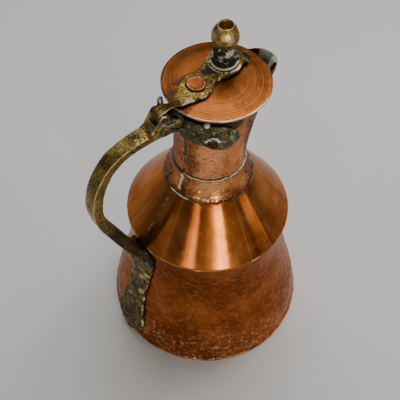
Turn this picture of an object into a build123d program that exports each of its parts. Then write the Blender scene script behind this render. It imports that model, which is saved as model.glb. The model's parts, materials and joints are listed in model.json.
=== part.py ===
from build123d import *
import os
from math import acos, atan2, cos, degrees, hypot, pi, radians, sin, sqrt

# An old copper pitcher with a hinged lid, a brass handle and a brass finial.
# Lengths are in millimetres. It stands at z = 0 round the Z axis, pours towards +X,
# and its handle is at -X. The lid turns about a line along Y over the handle's top.

# Sheet and joints
sheet = 1.2
solder_film = 0.05          # left between curved faces that lie on each other
running_clearance = 0.05    # radial, round the hinge pin
knuckle_side_gap = 0.25     # each side of the knuckle, between the cheeks
slot_gap = 0.6              # from the knuckle to the slot's back and floor

# Foot
foot_radius = 85.0          # over the crimped edge
foot_sheet = 0.8
foot_crimp_height = 3.2

# Lower body
shoulder_height = 125.5
shoulder_radius = 66.8
shoulder_lip = 2.4          # how far the shoulder's edge is folded down over the body
waist_radius = 64.8

# Shoulder and collar
cone_height = 45.4          # from the shoulder's edge to the collar's foot
collar_radius = 34.8
collar_foot_width = 1.3
collar_length = 18.6
collar_band = 3.5           # straight band round the neck
collar_hollow = 0.75        # how far the collar's flare curves in from a straight cone
shoulder_seam_width = 1.3
shoulder_seam_rise = 0.4
shoulder_seam_angle = -177.5
shoulder_seam_inset = 3.0   # clear of the two solder rings

# Neck and pouring lip
neck_radius = 27.6
neck_lap = 5.5              # length inside the collar
neck_round_length = 3.0     # the neck is round up to here over the collar
neck_length = 70.0          # from there to the rim
neck_hollow = 1.2           # how far the back of the neck draws in at its middle
lip_reach = 53.8
lip_radius = 14.0
neck_seam_width = 3.2
neck_seam_rise = 0.5
neck_seam_angle = -167.5

# Solder rings
ring_solder_width = 1.5
ring_solder_height = 1.8
foot_solder_radius = 1.2

# Neck bracket
bracket_thickness = 3.0
bracket_below_rim = 10.5
bracket_drop = 27.4         # from its top to the lowest point of a wing
bracket_wing_front = 5.7    # x of the wing's end
bracket_back_drop = 21.0    # from its top to its lower edge behind the neck
bracket_rivet_angle = 122.1
bracket_rivet_drop = 19.0
bracket_rivet_radius = 4.0
bracket_shank_radius = 1.8
bracket_rivet_rise = 1.5
bracket_bead_radius = 2.2
bracket_bead_angle = -130.5

# Handle
handle_width = 13.6
handle_reach = 104.4
handle_below_pin = 9.2      # from the pin to the handle's top
handle_belly_drop = 51.8    # from its top to its furthest point
handle_foot_drop = 21.5     # from the shoulder to the handle's foot
handle_thickness = 8.8
handle_edge_round = 1.0
cheek_thickness = 2.4
cheek_radius = 3.8

# Leaf at the handle's foot
leaf_thickness = 3.6
leaf_top_drop = 8.5         # from the shoulder
leaf_bottom = 5.5
leaf_waist_half = 11.8
leaf_wide_half = 18.2
leaf_rivet_y = 3.5
leaf_rivet_height = 21.9
leaf_rivet_radius = 2.4
leaf_shank_radius = 1.3
leaf_rivet_rise = 1.0

# Hinge
pin_behind_neck = 14.9
pin_below_rim = 5.5
pin_radius = 1.5
pin_head_radius = 2.3
pin_head_length = 0.9
pin_loop_wire = 0.9         # wire radius
pin_loop_width = 4.6
pin_loop_height = 8.6
pin_loop_forward = 5.6      # from the pin towards the lid
pin_loop_gap = 0.4          # from the far cheek
knuckle_radius = 4.8
block_length = 6.8          # from the slot's back to the bow
block_step = 1.2            # of the block's top, behind the slot
block_nose = 2.0            # of the cheeks, in front of their round ends

# Lid
lid_hinge_gap = 3.3         # from the knuckle to the lid's edge
lid_radius = 38.9
lid_edge_radius = 0.85
lid_step_inset = 6.1        # from the lid's edge
lid_step_rise = 0.5
lid_dome_inset = 8.7
lid_flat_margin = 0.1       # of its flat middle, round the rivet's rove
lid_flare = 1.6             # how far its hollow widens below that middle
lid_dome_rise = 2.8

# Lid strap
strap_thickness = 3.0
strap_arm_half = 2.8        # by the knuckle
strap_bend = -4.3           # how far the strap runs to one side, behind its rivet
strap_rivet_back = 17.5     # from the lid's centre
strap_pad_half = 12.2
strap_waist_half = 9.4
finial_pad_length = 13.5    # half of it, along the strap
finial_pad_half = 12.8
strap_arm_share = 0.52      # of the way from the knuckle to the rivet pad
strap_tail_gap = 1.2        # from the finial's cup to the curled part
strap_tail_length = 7.0     # of its curled part
strap_tail_curl = 3.0
strap_edge_clearance = 0.6  # over the lid's edge
strap_lid_inset = 6.0       # from the lid's edge to where the strap lies flat

# Lid rivet
lid_rivet_radius = 7.25
lid_rivet_rise = 1.6
lid_shank_radius = 3.6
rove_radius = 7.0
rove_thickness = 1.1
lid_peen_radius = 4.8
lid_peen_rise = 0.9

# Finial
finial_forward = 11.0       # from the lid's centre
finial_side = 7.0           # and to one side of it, as the strap bends
cup_radius = 10.3           # at its rim
cup_foot_radius = 9.3
cup_bulge = 0.2             # how far its side bows out from a straight cone
cup_height = 3.0
cup_wall = 1.3
cup_depth = 2.0
mound_height = 12.7
mound_bulge_radius = 9.2
mound_top_radius = 5.0
knob_radius = 9.8
knob_height = 17.6
knob_mouth_radius = 5.6
knob_bore_radius = 4.5
knob_bore_depth = 9.0

# Values that follow
collar_height = shoulder_height + cone_height
collar_top = collar_height + collar_length
neck_round_top = collar_top + neck_round_length
rim_height = neck_round_top + neck_length
bracket_top = rim_height - bracket_below_rim
bracket_back_low = bracket_top - bracket_back_drop
bracket_rivet_height = bracket_top - bracket_rivet_drop
pin_x = -(neck_radius + pin_behind_neck)
pin_z = rim_height - pin_below_rim
handle_top = pin_z - handle_below_pin
handle_belly = handle_top - handle_belly_drop
handle_foot = shoulder_height - handle_foot_drop
leaf_top = shoulder_height - leaf_top_drop
lid_centre_x = pin_x + knuckle_radius + lid_hinge_gap + lid_radius
lid_step_radius = lid_radius - lid_step_inset
lid_dome_radius = lid_radius - lid_dome_inset
lid_flat_radius = strap_rivet_back + rove_radius + lid_flat_margin
strap_rivet_x = lid_centre_x - strap_rivet_back
finial_x = lid_centre_x + finial_forward
strap_tail_start = finial_x + cup_radius + strap_tail_gap
strap_tail_end = strap_tail_start + strap_tail_length
foot_wall = foot_radius - foot_sheet
body_top_radius = shoulder_radius - sheet
body_top = shoulder_height - 0.4 * sheet
cone_run = shoulder_radius - collar_radius
cone_rise = collar_height - shoulder_height
cone_slope = cone_rise / cone_run
cone_side = hypot(cone_run, cone_rise)
collar_open_radius = collar_radius - collar_foot_width
handle_end_x = pin_x + cheek_radius
slot_back = pin_x - knuckle_radius - slot_gap
slot_floor = pin_z - knuckle_radius - slot_gap
block_back = slot_back - block_length
knuckle_width = handle_width - 2 * cheek_thickness - 2 * knuckle_side_gap
lid_brim_top = rim_height + sheet
lid_flat_top = lid_brim_top + lid_dome_rise
strap_top = lid_flat_top + strap_thickness
cup_top = strap_top + cup_height
mound_top = cup_top + mound_height
knob_top = mound_top + knob_height


def turned(*edges):
    """Turn a closed outline of radius and height round the Z axis."""
    return revolve(Plane.XZ * make_face(list(edges)), Axis.Z)


def turned_polygon(*points):
    return turned(Polyline(*points, close=True))


def upright_box(low_x, high_x, low_y, high_y, low_z, high_z):
    size = (high_x - low_x, high_y - low_y, high_z - low_z)
    middle = ((low_x + high_x) / 2, (low_y + high_y) / 2, (low_z + high_z) / 2)
    return Pos(*middle) * Box(*size)


def rod(start, direction, radius, length):
    """A round rod from a start point along a direction."""
    place = Plane(origin=start, z_dir=direction)
    return extrude(place * Circle(radius), amount=length)


def along_y(sketch, low, high):
    """Extrude a sketch of x and z from one y to another."""
    face = Plane.XZ.offset(-low) * sketch
    return extrude(face, amount=-(high - low))


# Body
def body_points(extra):
    """The lower body's outline, as shares of its height and of its flare."""
    span = shoulder_height - shoulder_lip - foot_crimp_height
    flare = foot_wall - waist_radius
    shares = ((0.0, 1.0), (0.148, 0.85), (0.35, 0.52), (0.575, 0.185), (0.785, 0.0))
    points = [
        (waist_radius + out * flare + extra, foot_crimp_height + up * span)
        for up, out in shares
    ]
    return points + [(body_top_radius + extra, foot_crimp_height + span)]


def body_form(extra, low, high):
    """The body as a full solid, grown by extra, with straight ends down and up."""
    points = body_points(extra)
    side = Spline(*points, tangents=[(0, 1), (0.1, 1)])
    first, last = points[0], points[-1]
    return turned(
        Line((first[0], low), first),
        side,
        Line(last, (last[0], high)),
        Line((last[0], high), (0, high)),
        Line((0, high), (0, low)),
        Line((0, low), (first[0], low)),
    )


def lower_body():
    outer = body_form(0, foot_sheet, body_top)
    return outer - body_form(-sheet, foot_sheet, body_top)


def base_plate():
    inner = foot_wall
    return turned_polygon(
        (0, 0),
        (foot_radius, 0),
        (foot_radius, foot_crimp_height),
        (inner, foot_crimp_height),
        (inner, foot_sheet),
        (0, foot_sheet),
    )


# Shoulder
def cone_point(radius, extra=0):
    """A point on the shoulder's outer face, or on its parallel at a distance extra."""
    shift = extra * cone_side / cone_rise
    return (radius, shoulder_height + (shoulder_radius + shift - radius) * cone_slope)


def cone_form(extra, top_radius):
    high = cone_point(top_radius, extra)
    low = cone_point(shoulder_radius, extra)
    return turned_polygon(
        (0, low[1]),
        low,
        high,
        (0, high[1]),
    )


def shoulder_cone():
    inside = cone_point(body_top_radius, -sheet)
    return turned_polygon(
        (shoulder_radius, shoulder_height - shoulder_lip),
        (shoulder_radius, shoulder_height),
        cone_point(collar_open_radius),
        cone_point(collar_open_radius, -sheet),
        inside,
        (body_top_radius, shoulder_height - shoulder_lip),
    )


def shoulder_seam():
    shell = cone_form(shoulder_seam_rise, collar_radius) - cone_form(0, collar_radius)
    near = collar_radius + shoulder_seam_inset
    far = shoulder_radius - shoulder_seam_inset
    half = shoulder_seam_width / 2
    strip = upright_box(near, far, -half, half, shoulder_height, collar_height)
    return shell & (Rot(0, 0, shoulder_seam_angle) * strip)


# Collar
def collar_edges():
    foot = cone_point(collar_radius)
    inner_foot = cone_point(collar_open_radius)
    outer_band = neck_radius + sheet
    band_low = collar_top - collar_band
    middle = (foot[1] + band_low) / 2
    outer_mid = ((foot[0] + outer_band) / 2 - collar_hollow, middle)
    inner_mid = ((inner_foot[0] + neck_radius) / 2 - collar_hollow, middle)
    return [
        ThreePointArc(foot, outer_mid, (outer_band, band_low)),
        Line((outer_band, band_low), (outer_band, collar_top)),
        Line((outer_band, collar_top), (neck_radius, collar_top)),
        Line((neck_radius, collar_top), (neck_radius, band_low)),
        ThreePointArc((neck_radius, band_low), inner_mid, inner_foot),
        Line(inner_foot, foot),
    ]


def neck_collar():
    return turned(*collar_edges())


def collar_top_solder():
    wide = neck_radius + ring_solder_width
    high = collar_top + ring_solder_height
    bulge = 0.75
    middle = (
        neck_radius + bulge * ring_solder_width,
        collar_top + bulge * ring_solder_height,
    )
    return turned(
        Line((neck_radius, collar_top), (wide, collar_top)),
        ThreePointArc((wide, collar_top), middle, (neck_radius, high)),
        Line((neck_radius, high), (neck_radius, collar_top)),
    )


def collar_foot_solder():
    """A bead in the corner between the shoulder and the collar."""
    centre = cone_point(collar_radius, 0.25 * foot_solder_radius)
    low, high = cone_point(shoulder_radius), cone_point(collar_open_radius / 2)
    under = Polyline((0, low[1]), low, high, (0, high[1]), close=True)
    bead = Pos(*centre) * Circle(foot_solder_radius)
    bead = bead - make_face(collar_edges()) - make_face([under])
    outside = max(bead.faces(), key=lambda face: face.area)
    return revolve(Plane.XZ * outside, Axis.Z)


# Neck
def neck_reach(angle, share):
    """Distance of the neck's side from the axis: a round back and a round lip joined
    by straight tangents, as on a belt round two wheels."""
    back = neck_radius - neck_hollow * sin(pi * share)
    lip = neck_radius - (neck_radius - lip_radius) * share**0.7
    apart = neck_radius + (lip_reach - neck_radius) * share**1.3 - lip
    if share == 0 or apart <= abs(back - lip):
        return back
    turn = acos((back - lip) / apart)
    lip_edge = atan2(lip * sin(turn), apart + lip * cos(turn))
    angle = abs(angle)
    if angle <= lip_edge:
        return apart * cos(angle) + sqrt(lip**2 - (apart * sin(angle)) ** 2)
    if angle >= turn:
        return back
    return back / cos(angle - turn)


def neck_outline(share, extra):
    if share == 0:
        return Circle(neck_radius + extra)
    half = 14
    angles = [pi * (i / half) ** 1.4 for i in range(half + 1)]
    angles = angles[:-1] + [-angle for angle in reversed(angles[1:])]
    points = []
    for angle in angles:
        reach = neck_reach(angle, share) + extra
        points.append((reach * cos(angle), reach * sin(angle)))
    return make_face(Spline(*points, periodic=True))


def neck_form(extra):
    """The neck above its round foot as a full solid, grown by extra."""
    shares = (0.0, 0.14, 0.32, 0.54, 0.78, 1.0)
    rise = rim_height - neck_round_top
    sections = [
        Pos(0, 0, neck_round_top + share * rise) * neck_outline(share, extra)
        for share in shares
    ]
    return loft(sections)


def neck_foot(extra):
    low = collar_top - neck_lap
    length = neck_round_top - low
    return Pos(0, 0, low) * Cylinder(
        neck_radius + extra, length, align=(Align.CENTER, Align.CENTER, Align.MIN)
    )


def neck_tube():
    upper = neck_form(0) - neck_form(-sheet)
    return upper + (neck_foot(0) - neck_foot(-sheet))


def neck_shell(thickness):
    """What lies on the neck, from the solder film out to a thickness."""
    return neck_form(thickness) - neck_form(solder_film)


def neck_seam():
    high = bracket_back_low - 1.5
    half = neck_seam_width / 2
    strip = upright_box(0, 2 * neck_radius, -half, half, neck_round_top, high)
    strip = Rot(0, 0, neck_seam_angle) * strip
    return (strip & neck_form(neck_seam_rise)) - neck_form(solder_film)


# Neck bracket
def wing_outline():
    """Side view of a wing, in x and z: full at the back, rounded at its front end."""
    back = -(neck_radius + 2 * bracket_thickness)
    run = bracket_wing_front - back
    low = bracket_top - bracket_drop
    depth = bracket_drop
    shares = (
        (0.36, 1.0),
        (0.56, 0.93),
        (0.74, 0.79),
        (0.88, 0.59),
        (1.0, 0.34),
        (0.95, 0.1),
        (0.71, 0.0),
        (0.52, 0.04),
        (0.33, 0.19),
    )
    points = [(back + x * run, low + z * depth) for x, z in shares]
    edge = Spline(*points)
    return make_face(
        [
            edge,
            Line(points[-1], (back, bracket_back_low)),
            Line((back, bracket_back_low), (back, bracket_top)),
            Line((back, bracket_top), points[0]),
        ]
    )


def rivet_place(side, reach):
    """Centre line of a bracket rivet at a distance from the neck's axis."""
    turn = radians(bracket_rivet_angle)
    direction = Vector(cos(turn), side * sin(turn), 0)
    start = direction * reach + Vector(0, 0, bracket_rivet_height)
    return start, direction


def bracket_holes():
    holes = []
    for side in (-1, 1):
        start, direction = rivet_place(side, neck_radius / 2)
        holes.append(rod(start, direction, bracket_shank_radius, neck_radius))
    return holes


def neck_bracket():
    reach = 2 * neck_radius
    blank = along_y(wing_outline(), -reach, reach)
    wings = neck_shell(bracket_thickness) & blank
    for hole in bracket_holes():
        wings = wings - hole
    return wings


def bracket_rivets():
    outside = neck_form(bracket_thickness)
    inside = neck_form(-sheet)
    rivets = []
    for side, hole in zip((-1, 1), bracket_holes()):
        start, direction = rivet_place(side, neck_radius / 2)
        length = neck_radius / 2 + bracket_thickness + bracket_rivet_rise
        head = rod(start, direction, bracket_rivet_radius, length) - outside
        clench = rod(start, direction, bracket_rivet_radius * 0.8, length) & inside
        inner = neck_radius - sheet - neck_hollow - bracket_rivet_rise
        low, _ = rivet_place(side, inner)
        clench = clench & rod(low, direction, bracket_rivet_radius, length)
        shank = hole & outside & rod(low, direction, bracket_rivet_radius, length)
        rivets.append(head + shank + clench)
    return rivets


def bracket_solder():
    """A bead of solder left on the bracket's top edge, against the neck."""
    turn = radians(bracket_bead_angle)
    reach = neck_radius + bracket_thickness / 2
    centre = (reach * cos(turn), reach * sin(turn), bracket_top)
    bead = Pos(*centre) * Sphere(bracket_bead_radius)
    bead = bead - neck_form(solder_film)
    under = along_y(wing_outline(), -2 * neck_radius, 2 * neck_radius)
    return bead - (neck_form(bracket_thickness) & under)


# Handle
def handle_curve():
    """The handle's outer edge in x and z, with its thickness at each point."""
    foot_x = -(body_top_radius + leaf_thickness)
    upper = (
        (0.0, 1.0, 0.76),
        (0.32, 0.945, 0.72),
        (0.61, 0.81, 0.8),
        (0.853, 0.52, 0.92),
        (0.975, 0.19, 0.98),
    )
    lower = (
        (1.0, 1.0, 1.0),
        (0.9, 0.765, 0.97),
        (0.67, 0.54, 0.97),
        (0.325, 0.23, 1.0),
        (0.0, 0.0, 1.02),
    )
    curve = []
    for out, up, share in upper:
        x = block_back - out * (handle_reach + block_back)
        z = handle_belly + up * (handle_top - handle_belly)
        curve.append((x, z, share * handle_thickness))
    for out, up, share in lower:
        x = foot_x - out * (handle_reach + foot_x)
        z = handle_foot + up * (handle_belly - handle_foot)
        curve.append((x, z, share * handle_thickness))
    return curve


def handle_side():
    curve = handle_curve()
    outer = [(x, z) for x, z, _ in curve]
    inner = []
    for i, (x, z, thickness) in enumerate(curve):
        before, after = curve[max(i - 1, 0)], curve[min(i + 1, len(curve) - 1)]
        run, rise = after[0] - before[0], after[1] - before[1]
        length = hypot(run, rise)
        inner.append((x - rise / length * thickness, z + run / length * thickness))
    return make_face(
        [
            Spline(*outer),
            Line(outer[-1], inner[-1]),
            Spline(*inner[::-1]),
            Line(inner[0], outer[0]),
        ]
    )


def hinge_block_side():
    """Side view of the block that joins the handle to the bracket and holds the pin."""
    low = handle_top - 0.9 * handle_thickness
    back = block_back - handle_edge_round
    front = -neck_radius
    return make_face(
        Polyline(
            (back, handle_top - 0.7 * handle_thickness),
            (back, handle_top - 0.2 * handle_edge_round),
            (slot_back - block_step, pin_z - cheek_radius),
            (pin_x, pin_z),
            (handle_end_x + block_nose, pin_z - 0.5 * cheek_radius),
            (front, bracket_top - 0.5 * bracket_thickness),
            (front, low),
            close=True,
        )
    )


def handle_bow():
    half = handle_width / 2
    bow = along_y(handle_side(), -half, half)
    long_edges = [
        edge for edge in bow.edges() if edge.length > handle_reach
    ]
    bow = fillet(long_edges, handle_edge_round)
    block = along_y(hinge_block_side(), -half, half)
    lug = rod((pin_x, -half, pin_z), (0, 1, 0), cheek_radius, handle_width)
    handle = bow + block + lug
    slot_half = knuckle_width / 2 + knuckle_side_gap
    high = pin_z + 2 * cheek_radius
    slot = upright_box(slot_back, 0, -slot_half, slot_half, slot_floor, high)
    bore = rod((pin_x, -handle_width, pin_z), (0, 1, 0), pin_radius, 2 * handle_width)
    handle = handle - slot - bore
    handle = handle - neck_form(bracket_thickness + solder_film)
    return handle - body_form(leaf_thickness + solder_film, 0, shoulder_height)


# Leaf
def leaf_outline():
    """Front view of the leaf, in y and z."""
    height = leaf_top - leaf_bottom
    half_widths = (
        (1.0, 0.48),
        (0.965, 0.78),
        (0.88, 0.85),
        (0.74, 0.77),
        (0.6, 0.0),
        (0.44, 0.0),
        (0.31, 0.3),
        (0.2, 0.88),
        (0.11, 1.0),
        (0.04, 0.72),
        (0.0, 0.25),
    )
    gain = leaf_wide_half - leaf_waist_half
    side = []
    for up, share in half_widths:
        if up > 0.7:
            half = share * leaf_wide_half
        elif up > 0.05:
            half = leaf_waist_half + share * gain
        else:
            half = share * leaf_wide_half
        side.append((half, leaf_bottom + up * height))
    other = [(-y, z) for y, z in reversed(side)]
    return make_face(
        [
            Spline(*side),
            Line(side[-1], other[0]),
            Spline(*other),
            Line(other[-1], side[0]),
        ]
    )


def leaf_rivet_rod(radius, near, far):
    start = (-near, leaf_rivet_y, leaf_rivet_height)
    return rod(start, (-1, 0, 0), radius, far - near)


def handle_leaf():
    shell = body_form(leaf_thickness, foot_sheet, shoulder_height)
    shell = shell - body_form(solder_film, foot_sheet, shoulder_height)
    blank = extrude(Plane.YZ * leaf_outline(), amount=-2 * foot_radius)
    leaf = shell & blank
    return leaf - leaf_rivet_rod(leaf_shank_radius, waist_radius, 2 * foot_radius)


def leaf_rivet():
    high = shoulder_height
    outside = body_form(leaf_thickness, foot_sheet, high)
    proud = body_form(leaf_thickness + leaf_rivet_rise, foot_sheet, high)
    inside = body_form(-sheet, foot_sheet, high)
    deep = body_form(-sheet - leaf_rivet_rise, foot_sheet, high)
    far = foot_radius + 2 * leaf_thickness
    near = waist_radius / 2
    head = (leaf_rivet_rod(leaf_rivet_radius, near, far) & proud) - outside
    clench = (leaf_rivet_rod(leaf_rivet_radius, near, far) & inside) - deep
    shank = (leaf_rivet_rod(leaf_shank_radius, near, far) & outside) - inside
    return head + shank + clench


# Hinge pin
def pin_loop(start_y):
    """The pin's end is thinner wire, bent towards the lid and up into a loop."""
    width = pin_loop_width - 2 * pin_loop_wire
    height = pin_loop_height - 2 * pin_loop_wire
    centre = (pin_x + pin_loop_forward, start_y, pin_z + height / 2)
    place = Plane(origin=centre, x_dir=(0, 0, 1), z_dir=(0, -1, 0))
    path = (place * SlotOverall(height, width)).wires()[0]
    start = path.edges()[0]
    section = Plane(origin=start @ 0, z_dir=start % 0) * Circle(pin_loop_wire)
    arm = rod((pin_x, start_y, pin_z), (1, 0, 0), pin_loop_wire, pin_loop_forward)
    return sweep(section, path=path) + arm


def hinge_pin():
    near = -handle_width / 2 - pin_head_length
    loop_y = handle_width / 2 + pin_loop_wire + pin_loop_gap
    far = loop_y + 0.5 * pin_loop_wire
    shaft = rod((pin_x, near, pin_z), (0, 1, 0), pin_radius, far - near)
    head = rod((pin_x, near, pin_z), (0, 1, 0), pin_head_radius, pin_head_length)
    return shaft + head + pin_loop(loop_y)


# Lid
def lid_disc():
    edge_centre = lid_radius - lid_edge_radius
    edge_z = rim_height + lid_edge_radius
    edge_inner = edge_centre - sqrt(lid_edge_radius**2 - (sheet - lid_edge_radius) ** 2)
    step_top = lid_brim_top + lid_step_rise
    edge = ThreePointArc(
        (edge_centre, rim_height), (lid_radius, edge_z), (edge_inner, lid_brim_top)
    )
    rest = Polyline(
        (edge_inner, lid_brim_top),
        (lid_step_radius + lid_step_rise, lid_brim_top),
        (lid_step_radius, step_top),
        (lid_step_radius - 2 * lid_step_rise, step_top),
        (lid_dome_radius, lid_brim_top + 0.4 * lid_step_rise),
        (lid_flat_radius, lid_flat_top),
        (0, lid_flat_top),
        (0, lid_flat_top - sheet),
        (lid_flat_radius, lid_flat_top - sheet),
        (lid_flat_radius + lid_flare, rim_height),
        (edge_centre, rim_height),
    )
    disc = Pos(lid_centre_x, 0, 0) * turned(edge, rest)
    shank = rod((strap_rivet_x, 0, 0), (0, 0, 1), lid_shank_radius, knob_top)
    return disc - shank


def strap_side():
    """Side view of the strap in x and z: knuckle, arm, over the lid, curled end."""
    knuckle = Pos(pin_x, pin_z) * CenterArc((0, 0), knuckle_radius, 90, 300)
    lid_back = lid_centre_x - lid_radius
    clear_z = rim_height + 2 * lid_edge_radius + strap_edge_clearance
    flat = lid_back + strap_lid_inset
    under = Spline(
        knuckle @ 1,
        (lid_back - 2 * strap_edge_clearance, clear_z - 1.3 * strap_edge_clearance),
        (flat, lid_flat_top),
        tangents=[(0.1, 1), (1, 0)],
    )
    over = Spline(
        knuckle @ 0,
        (pin_x + knuckle_radius, clear_z - strap_edge_clearance),
        (flat, strap_top),
        tangents=[(1, 0), (1, 0.1)],
    )
    under_tail = Spline(
        (strap_tail_start, lid_flat_top),
        (strap_tail_end, lid_flat_top + strap_tail_curl),
        tangents=[(1, 0), (0.5, 1)],
    )
    tip_low = (strap_tail_end, lid_flat_top + strap_tail_curl)
    tip_high = (strap_tail_end - 1.9, strap_top + 0.72 * strap_tail_curl)
    over_tail = Spline(
        (strap_tail_start - 0.8, strap_top),
        tip_high,
        tangents=[(1, 0), (0.6, 1)],
    )
    return make_face(
        [
            knuckle,
            under,
            Line(under @ 1, under_tail @ 0),
            under_tail,
            Line(tip_low, tip_high),
            over_tail,
            Line(over_tail @ 0, over @ 1),
            over,
        ]
    )


def strap_plan():
    """The strap from above, in x and y: hinge, rivet pad, waist, finial pad, tail."""
    hinge = knuckle_width / 2
    hinge_x = pin_x + knuckle_radius
    pad = strap_pad_half
    length = finial_pad_length
    wide = finial_pad_half
    side = finial_side
    bend = strap_bend
    pad_start = strap_rivet_x - 1.41 * pad
    arm_x = hinge_x + strap_arm_share * (pad_start - hinge_x)
    stations = (
        (hinge_x, 0, hinge),
        (arm_x, 0.85 * bend, strap_arm_half),
        (pad_start, bend, 0.4 * pad),
        (strap_rivet_x - 1.09 * pad, 0.7 * bend, 0.57 * pad),
        (strap_rivet_x - 0.77 * pad, 0.45 * bend, 0.73 * pad),
        (strap_rivet_x - 0.45 * pad, 0.22 * bend, 0.87 * pad),
        (strap_rivet_x, 0, pad),
        (strap_rivet_x + 0.75 * pad, 0.26 * side, 0.77 * pad),
        (finial_x - 0.9 * length, 0.74 * side, strap_waist_half),
        (finial_x - 0.42 * length, 0.95 * side, 0.95 * wide),
        (finial_x, side, wide),
        (finial_x + 0.55 * length, side, 0.82 * wide),
        (finial_x + 0.93 * length, 0.82 * side, 0.52 * wide),
        (strap_tail_end - 3.5, 0.55 * side, 0.42 * wide),
        (strap_tail_end + 1.0, 0.43 * side, 0.5 * wide),
    )
    far = [(x, centre + half) for x, centre, half in stations]
    near = [(x, centre - half) for x, centre, half in stations]
    back = pin_x - knuckle_radius - 1.0
    return make_face(
        [
            Line((back, hinge), far[0]),
            Spline(*far),
            Line(far[-1], near[-1]),
            Spline(*near),
            Line(near[0], (back, -hinge)),
            Line((back, -hinge), (back, hinge)),
        ]
    )


def lid_strap():
    reach = 2 * strap_pad_half
    side = along_y(strap_side(), -reach, reach)
    strap = side & extrude(strap_plan(), amount=knob_top)
    bore_radius = pin_radius + running_clearance
    bore = rod((pin_x, -reach, pin_z), (0, 1, 0), bore_radius, 2 * reach)
    shank = rod((strap_rivet_x, 0, 0), (0, 0, 1), lid_shank_radius, knob_top)
    return strap - bore - shank


def lid_rivet():
    low = lid_flat_top - sheet - rove_thickness
    axis = (0, 0, 1)
    shank = rod((strap_rivet_x, 0, low), axis, lid_shank_radius, strap_top - low)
    peen_low = low - lid_peen_rise
    peen = rod((strap_rivet_x, 0, peen_low), axis, lid_peen_radius, lid_peen_rise)
    head = rod((strap_rivet_x, 0, strap_top), axis, lid_rivet_radius, lid_rivet_rise)
    rim = head.edges().group_by(Axis.Z)[-1]
    return fillet(rim, 0.45 * lid_rivet_rise) + shank + peen


def lid_rivet_rove():
    low = lid_flat_top - sheet - rove_thickness
    start = (strap_rivet_x, 0, low)
    rove = rod(start, (0, 0, 1), rove_radius, rove_thickness)
    return rove - rod(start, (0, 0, 1), lid_shank_radius, rove_thickness)


# Finial
def finial_cup():
    middle = (cup_foot_radius + cup_radius) / 2 + cup_bulge
    inside = cup_radius - cup_wall
    floor = cup_top - cup_depth
    cup = turned(
        Line((0, strap_top), (cup_foot_radius, strap_top)),
        ThreePointArc(
            (cup_foot_radius, strap_top),
            (middle, strap_top + 0.5 * cup_height),
            (cup_radius, cup_top),
        ),
        Line((cup_radius, cup_top), (inside, cup_top)),
        Line((inside, cup_top), (0.85 * inside, floor)),
        Line((0.85 * inside, floor), (0, floor)),
        Line((0, floor), (0, strap_top)),
    )
    return Pos(finial_x, finial_side, 0) * cup


def finial_solder():
    inside = cup_radius - cup_wall
    floor = cup_top - cup_depth
    mound = turned(
        Line((0, floor), (0.85 * inside, floor)),
        Line((0.85 * inside, floor), (inside, cup_top)),
        ThreePointArc(
            (inside, cup_top),
            (mound_bulge_radius, cup_top + 0.4 * mound_height),
            (mound_top_radius, mound_top),
        ),
        Line((mound_top_radius, mound_top), (0, mound_top)),
        Line((0, mound_top), (0, floor)),
    )
    return Pos(finial_x, finial_side, 0) * mound


def finial_knob():
    foot = 0.95 * mound_top_radius
    lip = 0.05 * knob_height
    outer = Spline(
        (foot, mound_top),
        (0.84 * knob_radius, mound_top + 0.14 * knob_height),
        (knob_radius, mound_top + 0.42 * knob_height),
        (0.88 * knob_radius, mound_top + 0.72 * knob_height),
        (knob_mouth_radius + lip, knob_top - lip),
    )
    bore_floor = knob_top - knob_bore_depth
    knob = turned(
        Line((0, mound_top), (foot, mound_top)),
        outer,
        Line((knob_mouth_radius + lip, knob_top - lip), (knob_mouth_radius, knob_top)),
        Line((knob_mouth_radius, knob_top), (knob_bore_radius, knob_top)),
        Line((knob_bore_radius, knob_top), (0.8 * knob_bore_radius, bore_floor)),
        Line((0.8 * knob_bore_radius, bore_floor), (0, bore_floor)),
        Line((0, bore_floor), (0, mound_top)),
    )
    return Pos(finial_x, finial_side, 0) * knob


def write(name, shape):
    solids = []
    for piece in shape if isinstance(shape, list) else [shape]:
        solids.extend(piece.solids())
    export_step(Compound(children=solids), f"parts/{name}.step")


def main():
    os.makedirs("parts", exist_ok=True)
    tube = neck_tube()
    for hole in bracket_holes():
        tube = tube - hole
    wall = lower_body()
    wall = wall - leaf_rivet_rod(leaf_shank_radius, waist_radius / 2, 2 * foot_radius)
    write("base_plate", base_plate())
    write("lower_body", wall)
    write("shoulder_cone", shoulder_cone())
    write("shoulder_seam", shoulder_seam())
    write("neck_collar", neck_collar())
    write("collar_foot_solder", collar_foot_solder())
    write("collar_top_solder", collar_top_solder())
    write("neck_tube", tube)
    write("neck_seam", neck_seam())
    write("neck_bracket", neck_bracket())
    write("bracket_rivets", bracket_rivets())
    write("bracket_solder", bracket_solder())
    write("handle_bow", handle_bow())
    write("handle_leaf", handle_leaf())
    write("leaf_rivet", leaf_rivet())
    write("hinge_pin", hinge_pin())
    write("lid_disc", lid_disc())
    write("lid_strap", lid_strap())
    write("lid_rivet", lid_rivet())
    write("lid_rivet_rove", lid_rivet_rove())
    write("finial_cup", finial_cup())
    write("finial_solder", finial_solder())
    write("finial_knob", finial_knob())


main()
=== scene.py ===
import json
import math
import bpy
import numpy as np
from mathutils import Matrix, Vector


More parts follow.
